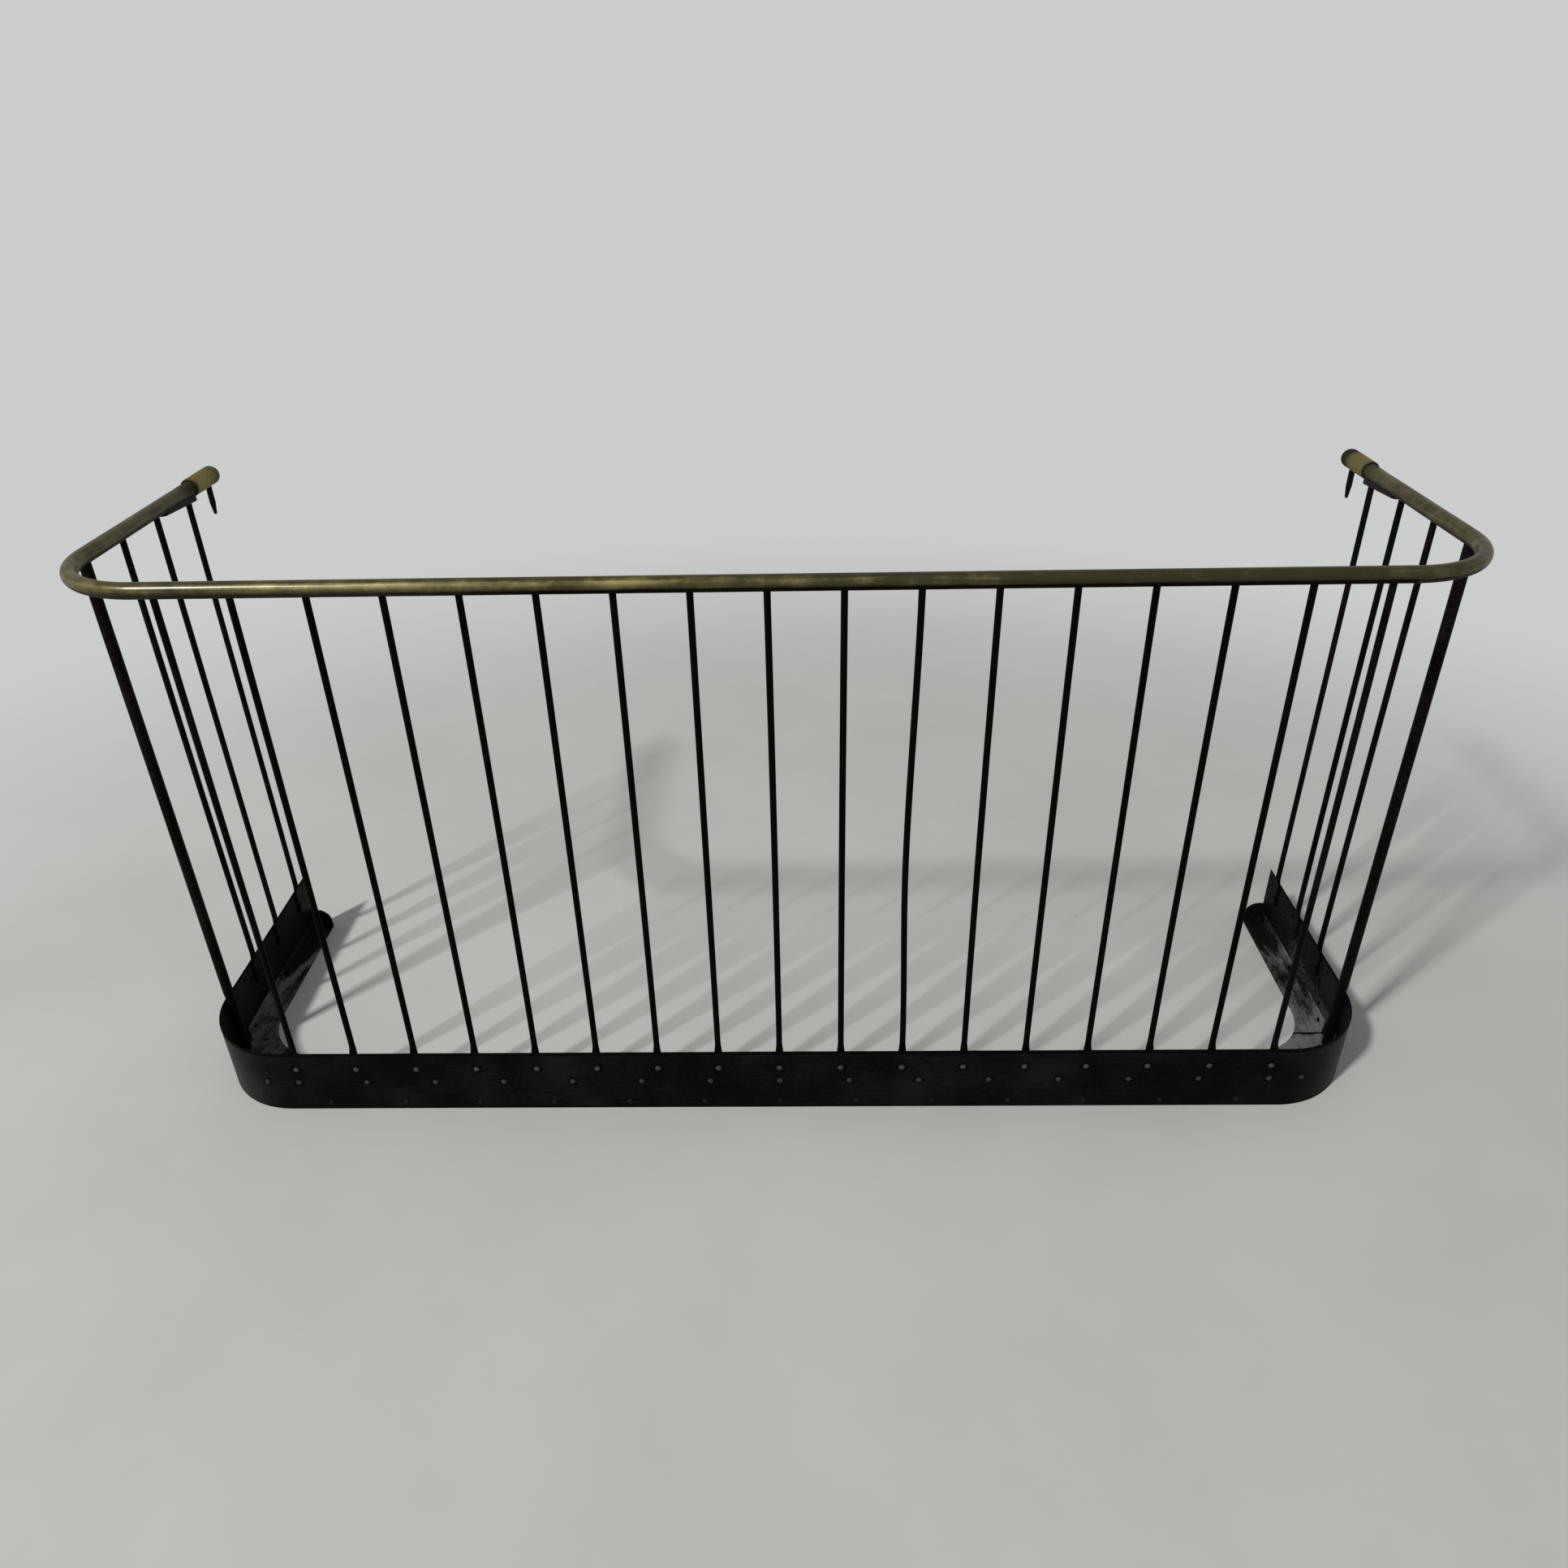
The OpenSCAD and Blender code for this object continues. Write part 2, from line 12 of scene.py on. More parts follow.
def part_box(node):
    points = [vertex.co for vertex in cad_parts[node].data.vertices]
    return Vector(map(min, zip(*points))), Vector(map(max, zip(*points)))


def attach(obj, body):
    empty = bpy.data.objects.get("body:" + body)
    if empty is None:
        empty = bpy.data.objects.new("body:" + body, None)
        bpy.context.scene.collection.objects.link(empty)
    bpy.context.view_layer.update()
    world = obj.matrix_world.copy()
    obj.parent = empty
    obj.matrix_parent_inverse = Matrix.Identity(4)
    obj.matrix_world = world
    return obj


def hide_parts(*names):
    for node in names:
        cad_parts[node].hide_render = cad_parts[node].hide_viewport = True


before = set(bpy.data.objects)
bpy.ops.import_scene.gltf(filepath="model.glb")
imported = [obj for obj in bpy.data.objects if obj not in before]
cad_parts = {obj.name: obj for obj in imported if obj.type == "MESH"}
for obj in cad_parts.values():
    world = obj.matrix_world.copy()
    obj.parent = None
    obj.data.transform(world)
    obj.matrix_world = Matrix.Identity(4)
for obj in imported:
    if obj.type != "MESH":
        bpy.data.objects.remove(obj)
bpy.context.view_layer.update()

log = logging.getLogger("fender")

MM = 0.001
MERGE_DISTANCE = 1e-6
SHARP_ANGLE = math.radians(38)
CORNER_POINTS = 4

Array = np.ndarray
Colour = tuple[float, float, float]
Socket = bpy.types.NodeSocket
Source = Socket | float | Colour


class Side(Enum):
    """The two ends of the fender, with their sign along X."""

    LEFT = -1
    RIGHT = 1


class Slot(Enum):
    """The record's material slots."""

    RAIL = "rail_brass"
    CAP = "cap_brass"
    BAR = "bar_iron"
    PIN = "pin_iron"
    BRACKET = "bracket_iron"
    ROD = "rod_black"
    KERB = "kerb_black"
    PLATE = "plate_worn"
    STRAP = "strap_black"
    RIVET = "rivet_black"


class Brush(Enum):
    """The way that a coat of paint was brushed, as the stretch of its grain along X, Y and Z."""

    UP = (1.0, 1.0, 0.03)
    ALONG = (0.05, 0.05, 1.0)
    NONE = (1.0, 1.0, 1.0)


# ---------------------------------------------------------------- shapes


def clamped_share(value: Array, low: float, high: float) -> Array:
    """The share of the way from low to high, kept between 0 and 1."""
    return np.clip((value - low) / (high - low), 0, 1)


def smooth_step(value: Array, low: float, high: float) -> Array:
    """Rises smoothly from 0 at low to 1 at high: t * t * (3 - 2 t) of the clamped share t."""
    share = clamped_share(value, low, high)
    return share * share * (3 - 2 * share)


def ripple(along: Array, across: Array, length: float, seed: int, waves: int = 6) -> Array:
    """Soft unevenness: the mean of a few plane sine waves of random direction, length and phase.

    Args:
        along: First coordinate, in metres.
        across: Second coordinate, in metres.
        length: Typical wave length, in metres.
        seed: Seed of the random draws.
        waves: How many waves are summed.

    Returns:
        Values between -1 and 1.
    """
    draw = np.random.default_rng(seed)
    total = np.zeros(np.broadcast(along, across).shape)
    for _ in range(waves):
        heading, phase = draw.uniform(0, 2 * math.pi, 2)
        pull = 2 * math.pi / (length * draw.uniform(0.6, 1.7))
        total += np.sin(pull * (along * math.cos(heading) + across * math.sin(heading)) + phase)
    return total / waves


def arc(centre: tuple[float, float], radius: float, start: float, end: float, count: int) -> Array:
    """Points (x, y) on a circle's arc, by cosine and sine of evenly spaced angles, given in degrees."""
    angle = np.radians(np.linspace(start, end, count))
    return np.stack([centre[0] + radius * np.cos(angle), centre[1] + radius * np.sin(angle)], -1)


def rounded_ring(low: tuple[float, float], high: tuple[float, float], edge: float, step: float) -> Array:
    """Outline of a rectangle with round corners: four quarter arcs, joined by evenly divided sides.

    Args:
        low: Lowest corner.
        high: Highest corner.
        edge: Radius of the corners.
        step: Longest distance between points on a side.

    Returns:
        The ring's points, counter-clockwise, of shape (count, 2).
    """
    corners = [
        (high[0] - edge, low[1] + edge, -90),
        (high[0] - edge, high[1] - edge, 0),
        (low[0] + edge, high[1] - edge, 90),
        (low[0] + edge, low[1] + edge, 180),
    ]
    turns = [arc((x, y), edge, angle, angle + 90, CORNER_POINTS) for x, y, angle in corners]
    parts = []
    for turn, following in zip(turns, turns[1:] + turns[:1]):
        gap = following[0] - turn[-1]
        count = max(1, math.ceil(np.linalg.norm(gap) / step))
        share = np.linspace(0, 1, count + 1)[1:-1, None]
        parts += [turn, turn[-1] + gap * share]
    return np.concatenate(parts)


@dataclass
class Patch:
    """A grid of points that becomes quads, and whose last column joins the first.

    Attributes:
        points: Points of shape (rows, columns, 3), in metres.
        wear_and_shade: Share of wear, dirt and painted shade at each point, of shape (rows, columns), or None
            for none.
        rub: Share of rubbing and painted highlight at each point, or None for none.
    """

    points: Array
    wear_and_shade: Array | None = None
    rub: Array | None = None

    def uv(self) -> Array:
        """UV in metres at each corner: the mean length walked along the rows and along the columns.

        Returns:
            Values of shape (rows, columns + 1, 2).
        """
        ring = np.concatenate([self.points, self.points[:, :1]], 1)
        along = np.linalg.norm(np.diff(ring, axis=0), axis=-1).mean(1)
        around = np.linalg.norm(np.diff(ring, axis=1), axis=-1).mean(0)
        u = np.concatenate([[0], np.cumsum(along)])
        v = np.concatenate([[0], np.cumsum(around)])
        return np.stack(np.meshgrid(u, v, indexing="ij"), -1)

    def quads(self) -> tuple[Array, Array]:
        """The corners of each quad, counted through the grid row by row, and the UV at each corner.

        Returns:
            Numbers of shape (quads, 4), and values of shape (4 * quads, 2).
        """
        rows, columns = self.points.shape[:2]
        row, column = np.meshgrid(np.arange(rows - 1), np.arange(columns), indexing="ij")
        after = (column + 1) % columns
        corners = [row * columns + column, row * columns + after]
        corners += [(row + 1) * columns + after, (row + 1) * columns + column]
        uv = self.uv()
        uvs = [uv[row, column], uv[row, column + 1], uv[row + 1, column + 1], uv[row + 1, column]]
        return np.stack(corners, -1).reshape(-1, 4), np.stack(uvs, -2).reshape(-1, 2)

    def mask(self, name: str) -> Array:
        """The wear or rub mask as one value for each point, which is 0 where there is no mask."""
        share = getattr(self, name)
        return np.zeros(self.points[..., 0].size) if share is None else share.ravel()


def closed_sweep(
    points: Array, wear_and_shade: Array | None = None, hubs: Array | None = None, rub: Array | None = None
) -> list[Patch]:
    """A closed bar: a grid of rings, and a fan at each end.

    Args:
        points: Rings of shape (rows, columns, 3).
        wear_and_shade: Wear, dirt and painted shade at each point, or None.
        hubs: The points that the two fans meet in, of shape (2, 3), or None for the rings' means.
        rub: Rubbing and painted highlight at each point, or None.

    Returns:
        The patches.
    """
    ends = points[[0, -1]]
    hubs = ends.mean(1) if hubs is None else hubs
    fans = [Patch(np.stack([end, np.broadcast_to(hub, end.shape)])) for end, hub in zip(ends, hubs)]
    return [Patch(points, wear_and_shade, rub), *fans]


@dataclass(frozen=True)
class Axis:
    """A local frame.

    Attributes:
        origin: Its origin.
        across: Its first direction, of length 1.
        side: Its second direction, at right angles to the first.
        along: Its third direction, at right angles to both.
    """

    origin: Array
    across: Array
    side: Array
    along: Array

    def place(self, a: Array, b: Array, c: Array) -> Array:
        """Points in the frame: the origin plus the three directions times their coordinates.

        Args:
            a: Coordinates along `across`.
            b: Coordinates along `side`.
            c: Coordinates along `along`.

        Returns:
            The points, with one axis more than the coordinates.
        """
        return (
            self.origin
            + a[..., None] * self.across
            + b[..., None] * self.side
            + c[..., None] * self.along
        )


def lathe(axis: Axis, profile: Array, around: int, uneven: float = 0.0, seed: int = 0) -> Patch:
    """A turned shape: each profile point (radius, height) goes round the axis by cosine and sine.

    Args:
        axis: The frame, turned about its `along` direction.
        profile: Points of shape (rows, 2), which start and end at radius 0 for a closed shape.
        around: How many columns.
        uneven: Share by which the radius shrinks here and there.
        seed: Seed of that unevenness.

    Returns:
        The patch.
    """
    angle = np.linspace(0, 2 * math.pi, around, endpoint=False)[None]
    radius, height = profile[:, :1], profile[:, 1:]
    low = 0.5 + 0.5 * ripple(np.cos(angle) * 0.02 + height, np.sin(angle) * 0.02, 0.02, seed)
    radius = radius * (1 - uneven * low)
    return Patch(axis.place(radius * np.cos(angle), radius * np.sin(angle), height + 0 * angle))


# ---------------------------------------------------------------- the fender's layout


@dataclass(frozen=True)
class Plan:
    """The centre line of the rail and the rods, seen from above.

    It runs straight along the front, round two quarter bends and back along two sides. Distances
    along it are counted from the middle of the front, negative to the left.

    Attributes:
        run: Half of the straight front, in metres.
        bend: Radius of the bends, in metres.
    """

    run: float
    bend: float

    @property
    def half_width(self) -> float:
        """From the middle to a side."""
        return self.run + self.bend

    @property
    def bend_end(self) -> float:
        """Distance along the line at which a bend ends."""
        return self.run + self.bend * math.pi / 2

    def reach(self, y: float) -> float:
        """Distance along the line at which a side stands at y."""
        return self.bend_end + y - self.bend

    def line(self, s: Array) -> tuple[Array, Array]:
        """Where the line is and which way is out of it.

        On the front the point is (s, 0). Round a bend it turns by the angle (|s| - run) / bend
        about the bend's centre, and past the bend it goes straight back.

        Args:
            s: Distances along the line.

        Returns:
            The points (x, y) and the outward normals (x, y), each with one axis more than s.
        """
        side = np.sign(s)
        way = np.abs(s)
        angle = np.clip((way - self.run) / self.bend, 0, math.pi / 2)
        past = np.clip(way - self.bend_end, 0, None)
        x = side * (np.minimum(way, self.run) + self.bend * np.sin(angle))
        y = self.bend * (1 - np.cos(angle)) + past
        return np.stack([x, y], -1), np.stack([side * np.sin(angle), -np.cos(angle)], -1)

    def nearest(self, x: float, y: float) -> float:
        """Distance along the line of the place that is nearest to a point.

        Args:
            x: The point's X.
            y: The point's Y.

        Returns:
            The distance, negative to the left.
        """
        side = math.copysign(1, x)
        if abs(x) <= self.run:
            return x
        if y >= self.bend:
            return side * self.reach(y)
        return side * (self.run + self.bend * math.atan2(abs(x) - self.run, self.bend - y))

    def place(self, s: Array, out: Array, z: Array) -> Array:
        """Points beside the line, whose three coordinates are broadcast together.

        Args:
            s: Distances along the line.
            out: Distances out of it.
            z: Heights.

        Returns:
            The points, with one axis more than the coordinates.
        """
        s, out, z = np.broadcast_arrays(s, out, z)
        point, normal = self.line(s)
        return np.concatenate([point + normal * out[..., None], z[..., None]], -1)

    def stations(self, start: float, end: float, straight: float, curved: float) -> Array:
        """Distances from start to end, with short steps round the bends.

        Args:
            start: First distance.
            end: Last distance.
            straight: Step on the straight stretches.
            curved: Step round the bends.

        Returns:
            The distances.
        """
        corners = [-self.bend_end, -self.run, self.run, self.bend_end]
        knots = [start, *(k for k in corners if start < k < end), end]
        parts = []
        for low, high in zip(knots, knots[1:]):
            step = curved if self.run < abs(low + high) / 2 < self.bend_end else straight
            parts.append(np.linspace(low, high, math.ceil((high - low) / step) + 1)[:-1])
        return np.concatenate([*parts, [end]])

    def axis_out(self, s: float, z: float) -> Axis:
        """A frame on the line that points outwards, with Z as its side.

        Args:
            s: Distance along the line.
            z: Height.

        Returns:
            The frame.
        """
        point, normal = self.line(np.array(s))
        out = np.array([*normal, 0.0])
        up = np.array([0.0, 0.0, 1.0])
        return Axis(np.array([*point, z]), np.cross(up, out), up, out)


@dataclass(frozen=True)
class Layout:
    """The places of the main pieces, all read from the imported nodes.

    Attributes:
        plan: The fender's plan.
        rail_r: Outer radius of the rail.
        rail_z: Height of the rail's centre line.
        tube_end: Y of the tube's rear ends.
        rod_r: Radius of an upright.
        foot_z: Lowest point of the uprights.
        stay_r: Radius of a corner stay.
        kerb_top: Height of the kerb.
        kerb_out: Distance of the kerb's outer face from the plan's line.
        kerb_wall: Thickness of the kerb's sheet.
        kerb_joint: Y at which the front sheet ends.
        kerb_end: Y at which the side sheets end.
    """

    plan: Plan
    rail_r: float
    rail_z: float
    tube_end: float
    rod_r: float
    foot_z: float
    stay_r: float
    kerb_top: float
    kerb_out: float
    kerb_wall: float
    kerb_joint: float
    kerb_end: float

    @classmethod
    def from_frame(cls) -> "Layout":
        """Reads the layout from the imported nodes' boxes.

        Returns:
            The layout.
        """
        rail_low, rail_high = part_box("top_rail")
        stay_low, stay_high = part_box("corner_stay_right")
        rod_low, rod_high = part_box("right_upright_1")
        kerb_low, kerb_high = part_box("kerb_front")
        side_low, side_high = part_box("kerb_right")
        rail_r = -rail_low.y
        bend = (stay_low.y + stay_high.y) / 2
        return cls(
            plan=Plan(run=rail_high.x - rail_r - bend, bend=bend),
            rail_r=rail_r,
            rail_z=rail_low.z + rail_r,
            tube_end=rail_high.y,
            rod_r=(rod_high.x - rod_low.x) / 2,
            foot_z=rod_low.z,
            stay_r=(stay_high.x - stay_low.x) / 2,
            kerb_top=kerb_high.z,
            kerb_out=-kerb_low.y,
            kerb_wall=side_high.x - side_low.x,
            kerb_joint=kerb_high.y,
            kerb_end=side_high.y,
        )

    @property
    def kerb_in(self) -> float:
        """Distance of the kerb's inner face from the plan's line."""
        return self.kerb_out - self.kerb_wall

    def rod_places(self) -> dict[str, float]:
        """Where the uprights and the corner stays stand.

        Returns:
            The distance along the plan of each, by the name of its node.
        """
        places = {}
        for name in sorted(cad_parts):
            if "_upright_" in name or name.startswith("corner_stay"):
                low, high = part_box(name)
                places[name] = self.plan.nearest((low.x + high.x) / 2, (low.y + high.y) / 2)
        return places


# ---------------------------------------------------------------- finishes


@dataclass(frozen=True)
class Noise:
    """A fractal noise.

    Attributes:
        scale: How many of its largest cells fit in one unit of its vector.
        detail: How many finer layers it has.
        rough: How strong each finer layer is, as a share of the one before.
    """

    scale: float
    detail: float = 4.0
    rough: float = 0.55


class Bench:
    """Wires the nodes of one material, whose shader ends in a Principled BSDF."""

    def __init__(self, name: str) -> None:
        """Makes the material and its shader.

        Args:
            name: The material's name.
        """
        self.material = bpy.data.materials.new(name)
        self.material.use_nodes = True
        self.tree = self.material.node_tree
        self.tree.nodes.clear()
        self.shader = self.node("ShaderNodeBsdfPrincipled")
        self.output = self.node("ShaderNodeOutputMaterial")
        self.feed(self.output.inputs["Surface"], self.shader.outputs["BSDF"])
        self.place = self.node("ShaderNodeTexCoord").outputs["Object"]
        self.surface = self.node("ShaderNodeUVMap").outputs["UV"]
        self.wear_and_shade = self.node("ShaderNodeAttribute", attribute_name="wear_and_shade").outputs["Fac"]
        self.rub = self.node("ShaderNodeAttribute", attribute_name="rub").outputs["Fac"]

    def node(self, kind: str, **settings: object) -> bpy.types.Node:
        """Adds a node and sets its properties.

        Args:
            kind: The node's type.
            settings: Its properties, by their names.

        Returns:
            The node.
        """
        made = self.tree.nodes.new(kind)
        for key, value in settings.items():
            setattr(made, key, value)
        return made

    def feed(self, socket: Socket, source: Source) -> None:
        """Links a source socket, or sets a plain value or colour.

        Args:
            socket: The input.
            source: What it gets.
        """
        if isinstance(source, Socket):
            self.tree.links.new(source, socket)
        elif socket.type == "RGBA":
            socket.default_value = (*source, 1.0)
        else:
            socket.default_value = source

    def stretched(self, vector: Socket, scale: tuple[float, float, float]) -> Socket:
        """The vector with each of its axes multiplied by its own factor.

        Args:
            vector: The vector.
            scale: The factors.

        Returns:
            The stretched vector.
        """
        mapping = self.node("ShaderNodeMapping")
        self.feed(mapping.inputs["Vector"], vector)
        mapping.inputs["Scale"].default_value = scale
        return mapping.outputs["Vector"]

    def noise(self, vector: Socket, noise: Noise) -> Socket:
        """A fractal noise between 0 and 1.

        Args:
            vector: Where it is taken.
            noise: Its settings.

        Returns:
            The noise.
        """
        made = self.node("ShaderNodeTexNoise")
        self.feed(made.inputs["Vector"], vector)
        made.inputs["Scale"].default_value = noise.scale
        made.inputs["Detail"].default_value = noise.detail
        made.inputs["Roughness"].default_value = noise.rough
        return made.outputs["Fac"]

    def math(self, operation: str, first: Source, second: Source) -> Socket:
        """One operation on two values.

        Args:
            operation: The Math node's operation.
            first: Its first value.
            second: Its second value.

        Returns:
            The result.
        """
        made = self.node("ShaderNodeMath", operation=operation)
        self.feed(made.inputs[0], first)
        self.feed(made.inputs[1], second)
        return made.outputs[0]

    def weigh(self, *weighted: tuple[Socket, float]) -> Socket:
        """The sum of some values, each times its own weight.

        Args:
            weighted: Pairs of a value and its weight.

        Returns:
            The sum.
        """
        total: Source = 0.0
        for source, weight in weighted:
            total = self.math("ADD", self.math("MULTIPLY", source, weight), total)
        return total

    def span(self, value: Source, low: float, high: float, first: float = 0.0, last: float = 1.0) -> Socket:
        """Goes smoothly from one result to another while a value goes from low to high.

        Args:
            value: The value.
            low: Where the result starts to change.
            high: Where it stops.
            first: The result up to low.
            last: The result from high on.

        Returns:
            The result.
        """
        made = self.node("ShaderNodeMapRange", interpolation_type="SMOOTHSTEP")
        for key, source in enumerate((value, low, high, first, last)):
            self.feed(made.inputs[key], source)
        return made.outputs[0]

    def blend(self, share: Source, first: Source, second: Source) -> Socket:
        """Mixes two colours.

        Args:
            share: The second colour's share.
            first: The first colour.
            second: The second colour.

        Returns:
            The mixed colour.
        """
        made = self.node("ShaderNodeMix", data_type="RGBA")
        for key, source in ((0, share), (6, first), (7, second)):
            self.feed(made.inputs[key], source)
        return made.outputs[2]

    def relief(self, height: Socket, depth: float) -> None:
        """Gives the shader's normal a relief.

        Args:
            height: Its height.
            depth: What a height of 1 stands for, in metres.
        """
        bump = self.node("ShaderNodeBump")
        self.feed(bump.inputs["Height"], height)
        bump.inputs["Distance"].default_value = depth
        bump.inputs["Strength"].default_value = 1.0
        self.feed(self.shader.inputs["Normal"], bump.outputs["Normal"])

    def finish(self, colour: Source, metal: Source, rough: Source, gloss: Source) -> bpy.types.Material:
        """Feeds the shader's main inputs.

        Args:
            colour: Base colour.
            metal: Metallic share.
            rough: Roughness.
            gloss: Specular level.

        Returns:
            The material.
        """
        self.feed(self.shader.inputs["Base Color"], colour)
        self.feed(self.shader.inputs["Metallic"], metal)
        self.feed(self.shader.inputs["Roughness"], rough)
        self.feed(self.shader.inputs["Specular IOR Level"], gloss)
        return self.material


@dataclass(frozen=True)
class AgedBrass:
    """Brass that was polished once and has gone brown.

    Attributes:
        name: The material's name.
        bright_and_highlit: Colour where hands keep it clean, which also paints highlights where the rub mask
            carries them.
        tarnish: Colour where it has gone brown.
        grime_and_shade: Colour of the dirt in its corners, which also paints shade where the wear mask
            carries it.
        age: How far it has gone brown where nothing rubs it, 0 to 1.
        rough: Roughness where it is brown.
        coat: Weight of the film of old lacquer and wax on it.
        coat_rough: Roughness of that film.
        edge: Tint of what it mirrors at a glancing angle.
        cloud: The noise of its clouds.
        blotch: The noise of its blotches.
        wipe: The noise of the wipe marks.
        wiped: How the wipe marks are drawn out, as factors of U and V.
        pits: The noise of its pits.
        relief: Depth of its relief, in metres.
    """

    name: str
    bright_and_highlit: Colour
    tarnish: Colour
    grime_and_shade: Colour
    age: float
    rough: float
    coat: float
    coat_rough: float
    edge: Colour
    cloud: Noise = Noise(6.0, 3.0)
    blotch: Noise = Noise(55.0, 5.0, 0.62)
    wipe: Noise = Noise(1.0, 3.0)
    wiped: tuple[float, float, float] = (14.0, 420.0, 1.0)
    pits: Noise = Noise(900.0, 2.0)
    relief: float = 0.08 * MM

    def material(self) -> bpy.types.Material:
        """Makes the material.

        Clouds, blotches and lengthwise wipe marks thin the tarnish, most where the rub mask is
        high, which carries polish and painted highlights. Pits and the wear mask, which carries dirt
        and painted shade, set the grime, which is dull: under it there is no metal, no coat and
        hardly any gloss.

        Returns:
            The material.
        """
        bench = Bench(self.name)
        cloud = bench.noise(bench.place, self.cloud)
        blotch = bench.noise(bench.place, self.blotch)
        wipe = bench.noise(bench.stretched(bench.surface, self.wiped), self.wipe)
        pits = bench.noise(bench.place, self.pits)
        level = bench.weigh((cloud, 0.25), (blotch, 0.4), (wipe, 0.35), (bench.rub, 0.5))
        bare_and_highlit = bench.span(level, self.age, self.age + 0.3)
        metal_colour = bench.blend(bare_and_highlit, self.tarnish, self.bright_and_highlit)
        pit = bench.span(pits, 0.6, 0.72)
        # Pits, dirt and painted shade from the wear mask.
        dirt = bench.math("MAXIMUM", bench.math("MULTIPLY", pit, 0.35), bench.wear_and_shade)
        colour = bench.blend(dirt, metal_colour, self.grime_and_shade)
        metal = bench.span(dirt, 0.0, 0.9, 1.0, 0.0)
        rough = bench.weigh((bare_and_highlit, -0.08), (dirt, 0.2), (wipe, 0.08))
        rough = bench.math("ADD", rough, self.rough)
        bench.feed(bench.shader.inputs["Coat Weight"], bench.span(dirt, 0.1, 0.7, self.coat, 0.0))
        bench.feed(bench.shader.inputs["Coat Roughness"], self.coat_rough)
        bench.feed(bench.shader.inputs["Specular Tint"], self.edge)
        bench.relief(bench.weigh((blotch, 0.5), (pits, 0.3), (wipe, 0.35)), self.relief)
        return bench.finish(colour, metal, rough, bench.span(dirt, 0.2, 0.9, 0.5, 0.03))


@dataclass(frozen=True)
class BlackPaint:
    """Old black paint on iron, brushed on and worn by rubbing, with a painted sheen in places.

    Attributes:
        name: The material's name.
        paint: Colour of the paint.
        haze: Colour of the dust and rubbing on it.
        haze_level: How much of that shows, 0 to 1.
        rust: Colour of its rust, or of its grime; where it is near black, as on the kerb, it also
        paints shade along the sheet's foot and top edge.
        rust_level: How much of that shows, 0 to 1.
        rubbed_and_sheen: Colour of the rubbing by hands, feet and tools, which also paints a sheen on the end
        rods and the kerb's bends, and a highlight on the rivets' heads.
        patchy: How uneven that rubbing is, 0 to 1.
        rough: Roughness of the paint.
        gloss: Specular level of the paint, seen straight on.
        sheen: Specular level at a glancing angle.
        brush: The way that it was brushed.
        ashes: Height up to which the ashes' rubbing reaches on the right, in metres, or 0 where the
        rub mask says where the rubbing is.
        ashes_from: X between which that rubbing starts, in metres.
        ashes_level: How strong that rubbing is, 0 to 1.
        grain: The noise of the brush's grain.
        cloud: The noise of the clouds in it.
        flecks: The noise of its flecks.
        relief: Depth of its relief, in metres.
    """

    name: str
    paint: Colour
    haze: Colour
    haze_level: float
    rust: Colour
    rust_level: float
    rubbed_and_sheen: Colour
    patchy: float
    rough: float
    gloss: float
    sheen: float
    brush: Brush
    ashes: float = 0.0
    ashes_from: tuple[float, float] = (0.7, 0.75)
    ashes_level: float = 0.6
    grain: Noise = Noise(420.0, 3.0)
    cloud: Noise = Noise(9.0, 5.0, 0.6)
    flecks: Noise = Noise(240.0, 6.0, 0.7)
    relief: float = 0.12 * MM

    def material(self) -> bpy.types.Material:
        """Makes the material.

        Clouds, flecks and brush grain lay a haze of dust on the paint. The rub mask, which carries
        rubbing and painted sheen, brings up the rubbed colour, unevenly, and where the wear mask,
        which carries wear, dirt and painted shade, is high flecks of the rust colour show. The gloss
        grows towards a glancing angle.

        Returns:
            The material.
        """
        bench = Bench(self.name)
        grain = bench.noise(bench.stretched(bench.place, self.brush.value), self.grain)
        cloud = bench.noise(bench.place, self.cloud)
        flecks = bench.noise(bench.place, self.flecks)
        dust = bench.weigh((cloud, 0.5), (flecks, 0.25), (grain, 0.25))
        dusty = bench.math("MULTIPLY", bench.span(dust, 0.42, 0.64), self.haze_level)
        painted = bench.blend(dusty, self.paint, self.haze)
        uneven = bench.span(bench.weigh((cloud, 0.5), (flecks, 0.5)), 0.4, 0.6, 1.0 - self.patchy, 1.0)
        rub = self.ashes_rub(bench) if self.ashes else bench.rub
        painted = bench.blend(bench.math("MULTIPLY", rub, uneven), painted, self.rubbed_and_sheen)
        worn = bench.weigh((flecks, 1.0), (bench.wear_and_shade, 0.32), (cloud, 0.2))
        edge = 0.98 - 0.2 * self.rust_level
        # Chips of the rust colour; on the kerb, where that colour is near black, they also paint shade at the
        # foot and top edge.
        chip_and_shade = bench.span(worn, edge - 0.05, edge + 0.03)
        colour = bench.blend(chip_and_shade, painted, self.rust)
        rough = bench.weigh((cloud, 0.16), (grain, 0.14), (chip_and_shade, 0.3))
        rough = bench.math("ADD", rough, self.rough - 0.15)
        bench.relief(bench.weigh((grain, 0.45), (flecks, 0.25), (chip_and_shade, -0.5)), self.relief)
        facing = bench.node("ShaderNodeLayerWeight").outputs["Facing"]
        return bench.finish(colour, 0.0, rough, bench.span(facing, 0.4, 0.95, self.gloss, self.sheen))

    def ashes_rub(self, bench: Bench) -> Socket:
        """Rubbing by the ashes on the pieces that have no rub mask: the strap and the joint plates.

        Args:
            bench: The material's bench.

        Returns:
            The share of rubbing, which fades out from 6 mm below its height to 6 mm above it.
        """
        parts = bench.node("ShaderNodeSeparateXYZ")
        bench.feed(parts.inputs[0], bench.place)
        low, high = self.ashes - 6 * MM, self.ashes + 6 * MM
        below = bench.span(parts.outputs["Z"], low, high, self.ashes_level, 0.0)
        return bench.math("MULTIPLY", below, bench.span(parts.outputs["X"], *self.ashes_from))


